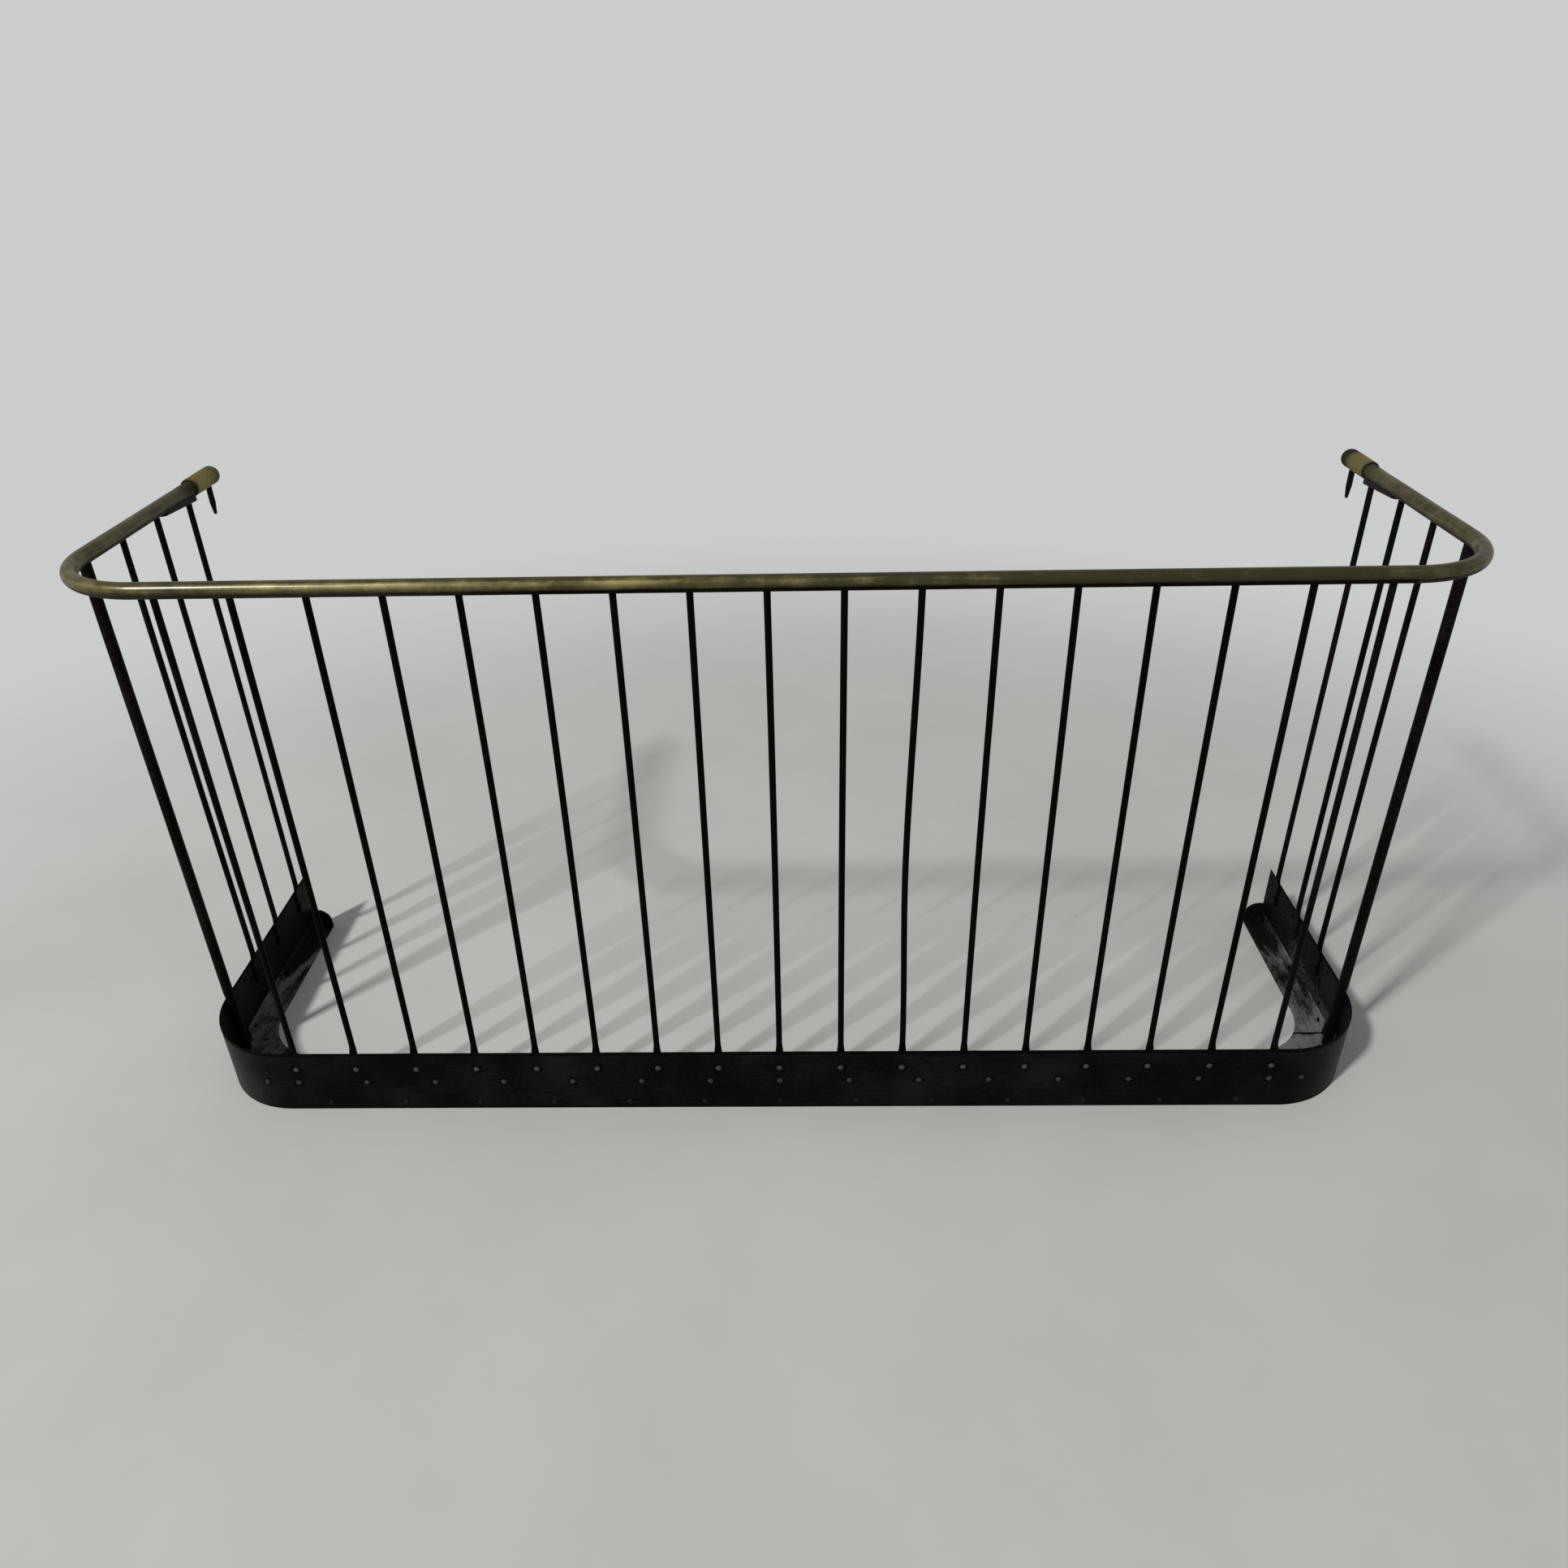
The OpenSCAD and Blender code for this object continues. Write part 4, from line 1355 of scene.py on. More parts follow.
@dataclass(frozen=True)
class Uprights:
    """The thin rods, each with a foot that was hammered flat, and the two thick corner stays.

    Attributes:
        layout: The fender's layout.
        foot_half_width: Half of a foot's width.
        foot_half_depth: Half of a foot's thickness.
        foot_power: Power of a foot's superellipse. The round rod's is 2.
        neck_low: Height at which a rod's neck starts.
        neck_high: Height at which it is round.
        around: How many points go round a rod.
        hammered: Depth of the hammer's marks on a foot.
        rolled: Depth of a rod's unevenness.
        shrink: Share by which a rod is thinner than its box, so that it stays inside.
        tapped: Share of a rod's section that its shoulder narrows to, at its tenon.
        bent_rod: The node of the rod that is bent.
        bent_by: How far it is bent along the plan, negative to the left.
        bent_at: Share of its shaft at which it is bent most.
        stay_around: How many points go round a stay.
        stay_flat_top: Height of the top of a stay's flat.
        stay_seat: Distance of that flat from the stay's middle.
        stay_runout: Height over which the flat runs out.
        tenon: The tenon of each rod and stay.
    """

    layout: Layout
    foot_half_width: float = 5.5 * MM
    foot_half_depth: float = 1.5 * MM
    foot_power: float = 4.5
    neck_low: float = 95 * MM
    neck_high: float = 114 * MM
    around: int = 32
    hammered: float = 0.16 * MM
    rolled: float = 0.07 * MM
    shrink: float = 0.015
    tapped: float = 0.62
    bent_rod: str = "front_upright_11"
    bent_by: float = -5.2 * MM
    bent_at: float = 0.44
    stay_around: int = 44
    stay_flat_top: float = 107.5 * MM
    stay_seat: float = 3.85 * MM
    stay_runout: float = 6 * MM
    tenon: Tenon = Tenon()

    def build(self, shop: Workshop) -> None:
        """Makes every rod and stay.

        Args:
            shop: The workshop.
        """
        for seed, (name, s) in enumerate(self.layout.rod_places().items()):
            if name.startswith("corner_stay"):
                patch = self.stay(s, seed)
                piece = name.replace("corner_stay", "stay")
            else:
                patch = self.rod(name, s, seed)
                piece = name.replace("upright", "rod")
            shop.make(piece, [patch], Slot.ROD, name)

    def shoulder(self, b: Array, gap: float) -> Array:
        """Height of the tube's underside: its middle less the root of reach ** 2 - b ** 2."""
        reach = self.layout.rail_r + gap
        return self.layout.rail_z - np.sqrt(reach ** 2 - np.minimum(np.abs(b), reach * 0.95) ** 2)

    def topped(self, a: Array, b: Array, z: Array, gap: float, axis: Axis) -> Array:
        """Adds the coped shoulder and the tenon's rings above a rod's rows, and places them all.

        No rod stands within a bend, so its coordinate outwards is its distance from the tube's axis.

        Args:
            a: Coordinates along the plan, of shape (rows, columns).
            b: Coordinates outwards.
            z: Heights.
            gap: Gap between the shoulder and the tube.
            axis: The rod's frame, whose side is up.

        Returns:
            The placed points.
        """
        angle = np.linspace(0, 2 * math.pi, a.shape[1], endpoint=False)[None]
        top_a, top_b = a[-1:], b[-1:]
        rows_a = [a, top_a, top_a * self.tapped]
        rows_b = [b, top_b, top_b * self.tapped]
        rows_z = [z, self.shoulder(top_b, gap), self.shoulder(top_b * self.tapped, gap)]
        for radius, height in self.tenon.rings():
            rows_a.append(radius * np.cos(angle))
            rows_b.append(radius * np.sin(angle))
            rows_z.append(height + 0 * angle)
        a, b, z = (np.concatenate(rows) for rows in (rows_a, rows_b, rows_z))
        return axis.place(a, z, b)

    def rod(self, name: str, s: float, seed: int) -> Patch:
        """A rod as a pile of superellipses.

        The ring at height z is (w * c ** (2 / p), middle + h * s ** (2 / p)) over the angle's
        cosine c and sine s. In the foot it is wide, thin and nearly square (p is the foot's power)
        and hugs the kerb; through the neck w, h and p turn smoothly into the round rod's. The
        foot's end is a half circle of width. A slow sine leans the rod a little, and one is bent.

        Args:
            name: The rod's node.
            s: Its place along the plan.
            seed: Seed of its unevenness.

        Returns:
            The patch, whose wear mask is the dirt from its foot up to just above the kerb.
        """
        layout = self.layout
        radius, foot = layout.rod_r, self.foot_half_width
        draw = np.random.default_rng(100 + seed)
        z = self.rod_rows()[:, None]
        neck = smooth_step(z, self.neck_low, self.neck_high)
        end_share = np.clip((z - layout.foot_z) / foot, 0, 1)
        round_end = np.sqrt(np.clip(1 - (1 - end_share) ** 2, 0, 1))
        width = (foot + (radius - foot) * neck) * round_end
        depth = self.foot_half_depth + (radius - self.foot_half_depth) * neck
        depth = depth * (0.75 + 0.25 * round_end)
        power = self.foot_power + (2.0 - self.foot_power) * neck
        angle = np.linspace(0, 2 * math.pi, self.around, endpoint=False)[None]
        cosine, sine = np.cos(angle), np.sin(angle)
        a = width * np.sign(cosine) * np.abs(cosine) ** (2 / power)
        b = radius - depth + depth * np.sign(sine) * np.abs(sine) ** (2 / power)
        hammered = ripple(z, angle * 0.006, 0.016, seed=200 + seed) * self.hammered * (1 - neck)
        rolled = ripple(z * 0.2, angle * 0.004, 0.02, seed=300 + seed) * self.rolled * neck
        a = a * (1 - self.shrink * neck) + (rolled - np.abs(hammered)) * cosine
        b = b * (1 - self.shrink * neck) + (rolled - np.abs(hammered)) * sine * (sine < 0)
        lean = np.sin(math.pi * clamped_share(z, self.neck_high, layout.rail_z))
        a = a + lean * draw.uniform(-0.7, 0.7) * MM
        b = b + lean * draw.uniform(-0.5, 0.5) * MM
        if name == self.bent_rod:
            a = a + self.bend_curve(z) * self.bent_by
        points = self.topped(a, b, z + 0 * angle, 0.1 * MM, layout.plan.axis_out(s, 0.0))
        wear_and_shade = np.zeros(points.shape[:2])
        wear_and_shade[: len(z)] = 0.6 * (1 - smooth_step(z, layout.kerb_top - 4 * MM, layout.kerb_top + 22 * MM))
        # Lighter from the end rods of the front outwards: a painted sheen.
        rub = np.zeros(points.shape[:2])
        rub[: len(z)] = 0.22 * smooth_step(abs(s), layout.plan.run - 60 * MM, layout.plan.run - 20 * MM)
        return Patch(points, wear_and_shade, rub)

    def rod_rows(self) -> Array:
        """The heights of a rod's rings, which lie close together in its foot's end and its neck.

        Returns:
            The heights, from below. Those of the foot's end go up by the cosine of an even turn.
        """
        layout = self.layout
        turn = np.linspace(0, math.pi / 2, 8)
        end = layout.foot_z + self.foot_half_width * (1 - np.cos(turn))
        foot = np.linspace(end[-1], self.neck_low, 12)[1:]
        neck = np.linspace(self.neck_low, self.neck_high, 14)[1:]
        shaft = np.linspace(self.neck_high, layout.rail_z - layout.rail_r - 2 * MM, 60)[1:]
        return np.concatenate([end, foot, neck, shaft])

    def bend_curve(self, z: Array) -> Array:
        """How far a bent rod is out of line: a smooth rise to its worst place, and a smooth fall.

        Args:
            z: Heights.

        Returns:
            Shares, 1 at its worst place, and 0 at its neck and at the rail.
        """
        share = clamped_share(z, self.neck_high, self.layout.rail_z)
        rise = smooth_step(share, 0.0, self.bent_at)
        fall = 1 - smooth_step(share, self.bent_at, 1.0)
        return rise * fall

    def stay(self, s: float, seed: int) -> Patch:
        """A thick rod whose outer side is filed flat below, where it stands against the kerb.

        The ring is a circle, cut off at the seat's distance below the flat's top and let out to the
        full radius above it.

        Args:
            s: Its place along the plan.
            seed: Seed of its unevenness.

        Returns:
            The patch, whose wear mask is the dirt from its foot up to just above the kerb.
        """
        layout = self.layout
        low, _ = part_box("corner_stay_right")
        flat = np.linspace(low.z, self.stay_flat_top, 16)
        runout = np.linspace(self.stay_flat_top, self.stay_flat_top + self.stay_runout, 8)[1:]
        shaft = np.linspace(runout[-1], layout.rail_z - layout.rail_r - 2 * MM, 50)[1:]
        z = np.concatenate([flat, runout, shaft])[:, None]
        angle = np.linspace(0, 2 * math.pi, self.stay_around, endpoint=False)[None]
        rolled = ripple(z * 0.2, angle * 0.006, 0.02, seed=400 + seed) * 0.08 * MM
        radius = layout.stay_r - 0.1 * MM + rolled
        let_out = smooth_step(z, self.stay_flat_top, runout[-1])
        limit = self.stay_seat + let_out * (layout.stay_r - self.stay_seat)
        a = radius * np.cos(angle)
        b = np.minimum(radius * np.sin(angle), limit)
        points = self.topped(a, b, z + 0 * angle, 0.2 * MM, layout.plan.axis_out(s, 0.0))
        foot = np.broadcast_to(points[0].mean(0), points[:1].shape)
        points = np.concatenate([foot, points])
        wear_and_shade = np.zeros(points.shape[:2])
        wear_and_shade[1 : len(z) + 1] = 0.5 * (1 - smooth_step(z, layout.kerb_top, layout.kerb_top + 30 * MM))
        # The stay is lighter all over: a painted sheen.
        return Patch(points, wear_and_shade, np.full(points.shape[:2], 0.4))


# ---------------------------------------------------------------- kerb and plates


@dataclass(frozen=True)
class Kerb:
    """The sheet-iron kerb, the strap inside it, its joint plates and the floor plates.

    Attributes:
        layout: The fender's layout.
        edge: Round of the sheet's and the strap's edges.
        waviness: How far the sheet waves out and in.
        plate: Thickness of the floor plates.
        plate_edge: Round of their edges.
        strap: Thickness of the strap.
        opening_radius: Radius of the hearth opening's front corners.
        front_depth: Y of the front plate's rear edge.
        side_width: Width of a flange beside the opening's straight sides.
        heel: Outer radius of the bend between a flange's floor and its leg.
        tab_radius: Radius of a tab's inner corner.
        tab_corner: Radius of its outer corner.
        foot_dirt_and_shade: Heights between which the dirt and painted shade at the sheet's foot fade.
        top_shade: How far under the sheet's top the painted shade along its top edge starts, and where it is
            full.
        halo: Reach of the dirt and painted shade round a rivet.
        halos_of: How strong that darkening is, by the rivets' node.
    """

    layout: Layout
    edge: float = 0.55 * MM
    waviness: float = 0.22 * MM
    plate: float = 2.5 * MM
    plate_edge: float = 0.6 * MM
    strap: float = 3.0 * MM
    opening_radius: float = 90 * MM
    front_depth: float = 95 * MM
    side_width: float = 29 * MM
    heel: float = 3.5 * MM
    tab_radius: float = 22 * MM
    tab_corner: float = 2 * MM
    foot_dirt_and_shade: tuple[float, float] = (2 * MM, 7 * MM)
    top_shade: tuple[float, float] = (7 * MM, 4 * MM)
    halo: float = 9 * MM
    halos_of: tuple[tuple[str, float], ...] = (("upright_rivets", 1.7), ("strap_rivets", 1.4))

    def build(self, shop: Workshop) -> None:
        """Makes all of the kerb's pieces.

        Args:
            shop: The workshop.
        """
        plan, layout = self.layout.plan, self.layout
        joint = plan.reach(layout.kerb_joint)
        side_low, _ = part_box("kerb_right")
        start, end = plan.reach(side_low.y), plan.reach(layout.kerb_end)
        shop.make("kerb_front_sheet", self.sheet(-joint, joint), Slot.KERB, "kerb_front")
        shop.make("kerb_right_sheet", self.sheet(start, end), Slot.KERB, "kerb_right")
        shop.make("kerb_left_sheet", self.sheet(-end, -start), Slot.KERB, "kerb_left")
        shop.make("strap_bar", self.strap_bar(), Slot.STRAP, "kerb_strap")
        shop.make("hearth_plate", self.front_plate(), Slot.PLATE, "hearth_plate_front")
        for side in Side:
            name = side.name.lower()
            shop.dress(f"joint_plate_{name}", Slot.STRAP)
            shop.make(f"flange_{name}", self.flange(side), Slot.PLATE, f"hearth_flange_{name}")

    def sheet(self, start: float, end: float) -> list[Patch]:
        """A stretch of the kerb: its rounded section, carried along the plan and slightly wavy.

        The section's points move out and in together by a soft ripple over s and z, so the sheet
        keeps its thickness.

        Args:
            start: Distance along the plan at which it starts.
            end: Distance at which it ends.

        Returns:
            The patches. The wear mask is dirt and painted shade at its foot, painted shade along its
            top edge, darker patches inside and towards the right, and dirt and painted shade round
            the rivets.
        """
        layout = self.layout
        ring = rounded_ring((layout.kerb_in, 0.0), (layout.kerb_out, layout.kerb_top), self.edge, 3.5 * MM)
        s = layout.plan.stations(start, end, 5 * MM, 3 * MM)[:, None]
        out, z = ring[None, :, 0], ring[None, :, 1]
        wave = self.waviness * ripple(s, z, 0.16, seed=7) * smooth_step(z, 0.0, 20 * MM)
        # Darker at the foot, dirt and painted shade, and along the top edge, painted shade.
        start_below, full_below = self.top_shade
        at_top = smooth_step(z, layout.kerb_top - start_below, layout.kerb_top - full_below)
        wear_and_shade = 1 - smooth_step(z, *self.foot_dirt_and_shade) + at_top
        wear_and_shade = np.maximum(wear_and_shade, 0.75 * (out < (layout.kerb_in + layout.kerb_out) / 2))
        wear_and_shade = np.maximum(wear_and_shade, np.maximum(0.5 * smooth_step(s, 0.05, 0.6), self.halos(s, z)))
        points = layout.plan.place(s, out + wave, z)
        return closed_sweep(points, wear_and_shade, rub=self.sheet_rub_and_sheen(s, out, z))

    def halos(self, s: Array, z: Array) -> Array:
        """Dirt and painted shade round the rivets' heads.

        It is e to the power of minus the square of the distance to the nearest rivet, in reaches.

        Args:
            s: Distances along the plan.
            z: Heights.

        Returns:
            The mask.
        """
        dirt = np.zeros(np.broadcast(s, z).shape)
        for group, amount in self.halos_of:
            for points in Rivets.solids(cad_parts[group].data):
                x, y, height = (points.min(0) + points.max(0)) / 2
                away = np.hypot(s - self.layout.plan.nearest(x, y), z - height) / self.halo
                dirt = np.maximum(dirt, amount * np.exp(-(away ** 2)))
        return np.minimum(dirt, 1)

    def sheet_rub_and_sheen(self, s: Array, out: Array, z: Array) -> Array:
        """Painted sheen on the outside of the bends, and rubbing by the ashes inside the right-hand side.

        The ashes' mark ends above in a wavy line that rises towards the rear, and stops before the
        rear end.

        Args:
            s: Distances along the plan.
            out: Distances out of the plan's line.
            z: Heights.

        Returns:
            The mask.
        """
        plan, layout = self.layout.plan, self.layout
        inside = out < (layout.kerb_in + layout.kerb_out) / 2
        y = s - plan.bend_end + plan.bend
        line = (27 + 20 * smooth_step(y, 0.12, 0.21) + 12 * smooth_step(y, 0.22, 0.28)) * MM
        line = line + 9 * MM * ripple(y, 0 * y, 0.05, seed=31)
        ashes = smooth_step(line - z, -5 * MM, 7 * MM) * (1 - smooth_step(y, 0.27, 0.31)) * (s > 0)
        # Painted sheen on the outside of each bend, stronger on the left.
        turn = smooth_step(np.abs(s), plan.run - 15 * MM, plan.run + 105 * MM)
        return np.where(inside, 0.6 * ashes * smooth_step(y, 0.05, 0.12), turn * np.where(s < 0, 0.3, 0.2))

    def strap_bar(self) -> list[Patch]:
        """The flat bar behind the second row of rivets, carried along the plan.

        Returns:
            The patches.
        """
        low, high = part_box("kerb_strap")
        plan = self.layout.plan
        end = plan.nearest(high.x, high.y)
        ring = rounded_ring((-low.y - self.strap, low.z), (-low.y, high.z), self.edge, 4 * MM)
        s = plan.stations(-end, end, 10 * MM, 3 * MM)[:, None]
        return closed_sweep(plan.place(s, ring[None, :, 0], ring[None, :, 1]))

    def opening_edge(self, y: Array) -> Array:
        """Half width of the hearth opening at y: its straight side, less the round of its corner.

        The corner's circle has its centre one radius behind the front plate's rear edge, so the
        half width there is the centre's x plus the root of radius ** 2 - (distance to it) ** 2.

        Args:
            y: Where to take it.

        Returns:
            The half widths.
        """
        _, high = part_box("hearth_flange_right")
        straight = high.x - self.side_width
        behind = np.clip(self.front_depth + self.opening_radius - y, 0, self.opening_radius)
        return straight - self.opening_radius + np.sqrt(self.opening_radius ** 2 - behind ** 2)

    def front_plate(self) -> list[Patch]:
        """The front floor plate as a ribbon, with its leg.

        Each station of the ribbon joins a point of the outer edge, on the kerb's line, to a point
        of the inner edge, on the opening's outline. Both edges are walked at their own pace: along
        their straight part together, and then round their corners together. The ring round a
        station goes out along the top, round the edge, and back along the underside.

        Returns:
            The patches, whose rub mask is high at both corners.
        """
        layout, plan = self.layout, self.layout.plan
        outer_reach = layout.kerb_in - 0.1 * MM
        straight = np.linspace(0, 1, 60)
        corner = np.linspace(0, 1, 48)[1:]
        joint = plan.reach(layout.kerb_joint)
        outer_s = np.concatenate([plan.run * straight, plan.run + (joint - plan.run) * corner])
        outer, normal = plan.line(outer_s)
        outer = outer + normal * outer_reach
        corner_x = float(self.opening_edge(np.array(self.front_depth)))
        last = math.acos(1 - (layout.kerb_joint - self.front_depth) / self.opening_radius)
        round_x = corner_x + self.opening_radius * np.sin(last * corner)
        round_y = self.front_depth + self.opening_radius * (1 - np.cos(last * corner))
        inner_x = np.concatenate([corner_x * straight, round_x])
        inner_y = np.concatenate([np.full(len(straight), self.front_depth), round_y])
        inner = np.stack([inner_x, inner_y], -1)
        mirrored = [np.concatenate([(edge * [-1, 1])[::-1], edge[1:]]) for edge in (outer, inner)]
        points = self.ribbon(*mirrored)
        at_right = smooth_step(points[..., 0], corner_x, corner_x + 40 * MM)
        at_left = smooth_step(-points[..., 0], corner_x - 40 * MM, corner_x + 60 * MM)
        return closed_sweep(points, rub=0.75 * at_right + 0.5 * at_left) + self.leg()

    def ribbon(self, outer: Array, inner: Array) -> Array:
        """Rings round a flat plate between two edges, with rounded rims.

        Each ring is the outline of a unit square whose corners are all but sharp, stretched from
        the outer edge to the inner one and to the plate's thickness. A point in the rim's reach
        lies rim less the root of rim ** 2 - (rim - depth) ** 2 under the plate's top or over its
        underside, where depth is its distance from the edge.

        Args:
            outer: Points of one edge, of shape (rows, 2).
            inner: Points of the other edge.

        Returns:
            Points of shape (rows, columns, 3).
        """
        span = np.linalg.norm(inner - outer, axis=1)[:, None]
        ring = rounded_ring((0.0, 0.0), (1.0, 1.0), 0.0001, 0.125)
        share, height = ring[None, :, 0], ring[None, :, 1]
        rim = self.plate_edge
        depth = np.minimum(share, 1 - share) * span
        lift = np.where(height > 0.5, 1.0, -1.0)
        drop = rim - np.sqrt(np.clip(rim ** 2 - (rim - np.minimum(depth, rim)) ** 2, 0, None))
        z = np.where(lift > 0, self.plate - drop, drop)
        z = np.where((height > 0.001) & (height < 0.999), height * (self.plate - 2 * rim) + rim, z)
        flat = outer[:, None] + (inner - outer)[:, None] * share[..., None]
        return np.concatenate([flat, z[..., None]], -1)

    def leg(self) -> list[Patch]:
        """The upright leg by which the front plate is riveted to the kerb.

        Returns:
            The patches.
        """
        _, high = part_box("hearth_plate_front")
        plan, reach = self.layout.plan, self.layout.kerb_in
        ring = rounded_ring((reach - self.plate, self.plate * 0.4), (reach, high.z), self.plate_edge, 4 * MM)
        s = np.linspace(-plan.run, plan.run, 120)[:, None]
        return closed_sweep(plan.place(s, ring[None, :, 0], ring[None, :, 1]))

    def flange(self, side: Side) -> list[Patch]:
        """A side's floor flange: an L section with a round heel, and the tab turned up at its rear.

        The section at y starts at the opening's edge there, runs out along the floor, turns up
        round the heel to the leg's top, and comes back one plate's thickness inside of it.

        Args:
            side: The flange's side.

        Returns:
            The patches.
        """
        low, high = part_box(f"hearth_flange_{side.name.lower()}")
        outer = max(abs(low.x), abs(high.x))
        rim, plate = self.plate_edge, self.plate
        rows = np.concatenate([
            np.linspace(low.y, self.front_depth + self.opening_radius, 30),
            np.linspace(self.front_depth + self.opening_radius, high.y, 50)[1:],
        ])[:, None]
        inner = self.opening_edge(rows)
        fixed = self.flange_leg(outer)
        tread = np.linspace(1, 0, 8)[1:-1]
        start = outer - self.heel
        top_x = inner + rim + (start - inner - rim) * tread
        edge_turn = np.radians(np.linspace(90, 270, 7))
        edge_x = inner + rim + rim * np.cos(edge_turn)
        edge_z = plate / 2 + (plate / 2) * np.sin(edge_turn)
        bottom_x = top_x[:, ::-1]
        count = len(rows)
        x = np.concatenate([np.broadcast_to(fixed[:, 0], (count, len(fixed))), top_x, edge_x, bottom_x], 1)
        z_row = np.concatenate([fixed[:, 1], np.full(len(tread), plate), edge_z, np.zeros(len(tread))])
        z = np.broadcast_to(z_row, x.shape)
        y = np.broadcast_to(rows, x.shape)
        body = np.stack([side.value * x, y, z], -1)
        corner = outer - plate / 2
        hubs = np.array([[side.value * corner, end, plate / 2] for end in (low.y, high.y)])
        rub = self.tread(side, body)
        return closed_sweep(body, hubs=hubs, rub=rub) + self.tab(side, outer, high.y, high.z)

    def flange_leg(self, outer: float) -> Array:
        """The part of a flange's section that is the same at every y: the heel and the leg.

        Args:
            outer: Distance of the leg's outer face from the middle.

        Returns:
            Points (x, z), up the outside, round the leg's top and down the inside.
        """
        plate, rim, heel = self.plate, self.plate_edge, self.heel
        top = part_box("hearth_plate_front")[1].z
        return np.concatenate([
            arc((outer - heel, heel), heel, -90, 0, 7),
            [[outer, top * 0.6]],
            arc((outer - rim, top - rim), rim, 0, 90, CORNER_POINTS),
            arc((outer - plate + rim, top - rim), rim, 90, 180, CORNER_POINTS),
            [[outer - plate, top * 0.6]],
            arc((outer - heel, heel), heel - plate, 0, -90, 5),
        ])

    def tread(self, side: Side, points: Array) -> Array:
        """Where a flange is lighter: the right one, scrubbed, but for its rear; the left one in a slanting
        streak of scrubbing and painted highlight.

        Args:
            side: The flange's side.
            points: Its points.

        Returns:
            The mask.
        """
        x, y, z = np.moveaxis(np.abs(points), -1, 0)
        if side is Side.RIGHT:
            front = 0.3 * (1 - smooth_step(y, 0.14, 0.22))
            rear = 0.5 * smooth_step(y, 0.30, 0.36) + 0.5 * smooth_step(y, 0.38, 0.405)
            joint = 1 - smooth_step(y, 0.1325, 0.137)
            return np.clip((0.5 + front) * (1 - rear) - 0.9 * joint, 0, 1)
        # On the left, a lighter slanting streak: scrubbing, and a painted highlight.
        line = 0.789 - (y - 0.271) * 0.31
        streak = np.exp(-(((x - line) / (7 * MM)) ** 2))
        along = smooth_step(y, 0.19, 0.27) * (1 - 0.5 * smooth_step(y, 0.38, 0.41)) * (z < 4 * MM)
        return 0.8 * streak * along + 0.45 * (1 - smooth_step(y, 0.2, 0.3))

    def tab(self, side: Side, outer: float, rear: float, top: float) -> list[Patch]:
        """The flange's rear end, turned up: its outline with one large round corner, one plate thick.

        Args:
            side: The flange's side.
            outer: Distance of its outer face from the middle.
            rear: Y of its rear face.
            top: Height of its top.

        Returns:
            The patches.
        """
        inner = outer - self.side_width
        radius, corner = self.tab_radius, self.tab_corner
        outline = np.concatenate([
            [[outer, self.plate * 0.5]],
            [[outer, top * 0.5]],
            arc((outer - corner, top - corner), corner, 0, 90, CORNER_POINTS),
            arc((inner + radius, top - radius), radius, 90, 180, 14),
            [[inner, self.plate * 0.5]],
        ])
        middle = outline.mean(0)
        rim = self.plate_edge
        inset = outline + (middle - outline) * (rim / np.linalg.norm(outline - middle, axis=1))[:, None]
        front = rear - self.plate
        rings = [(inset, rear), (outline, rear - rim), (outline, front + rim), (inset, front)]
        points = np.stack([
            np.stack([side.value * ring[:, 0], np.full(len(ring), y), ring[:, 1]], -1) for ring, y in rings
        ])
        return closed_sweep(points)


# ---------------------------------------------------------------- rivets


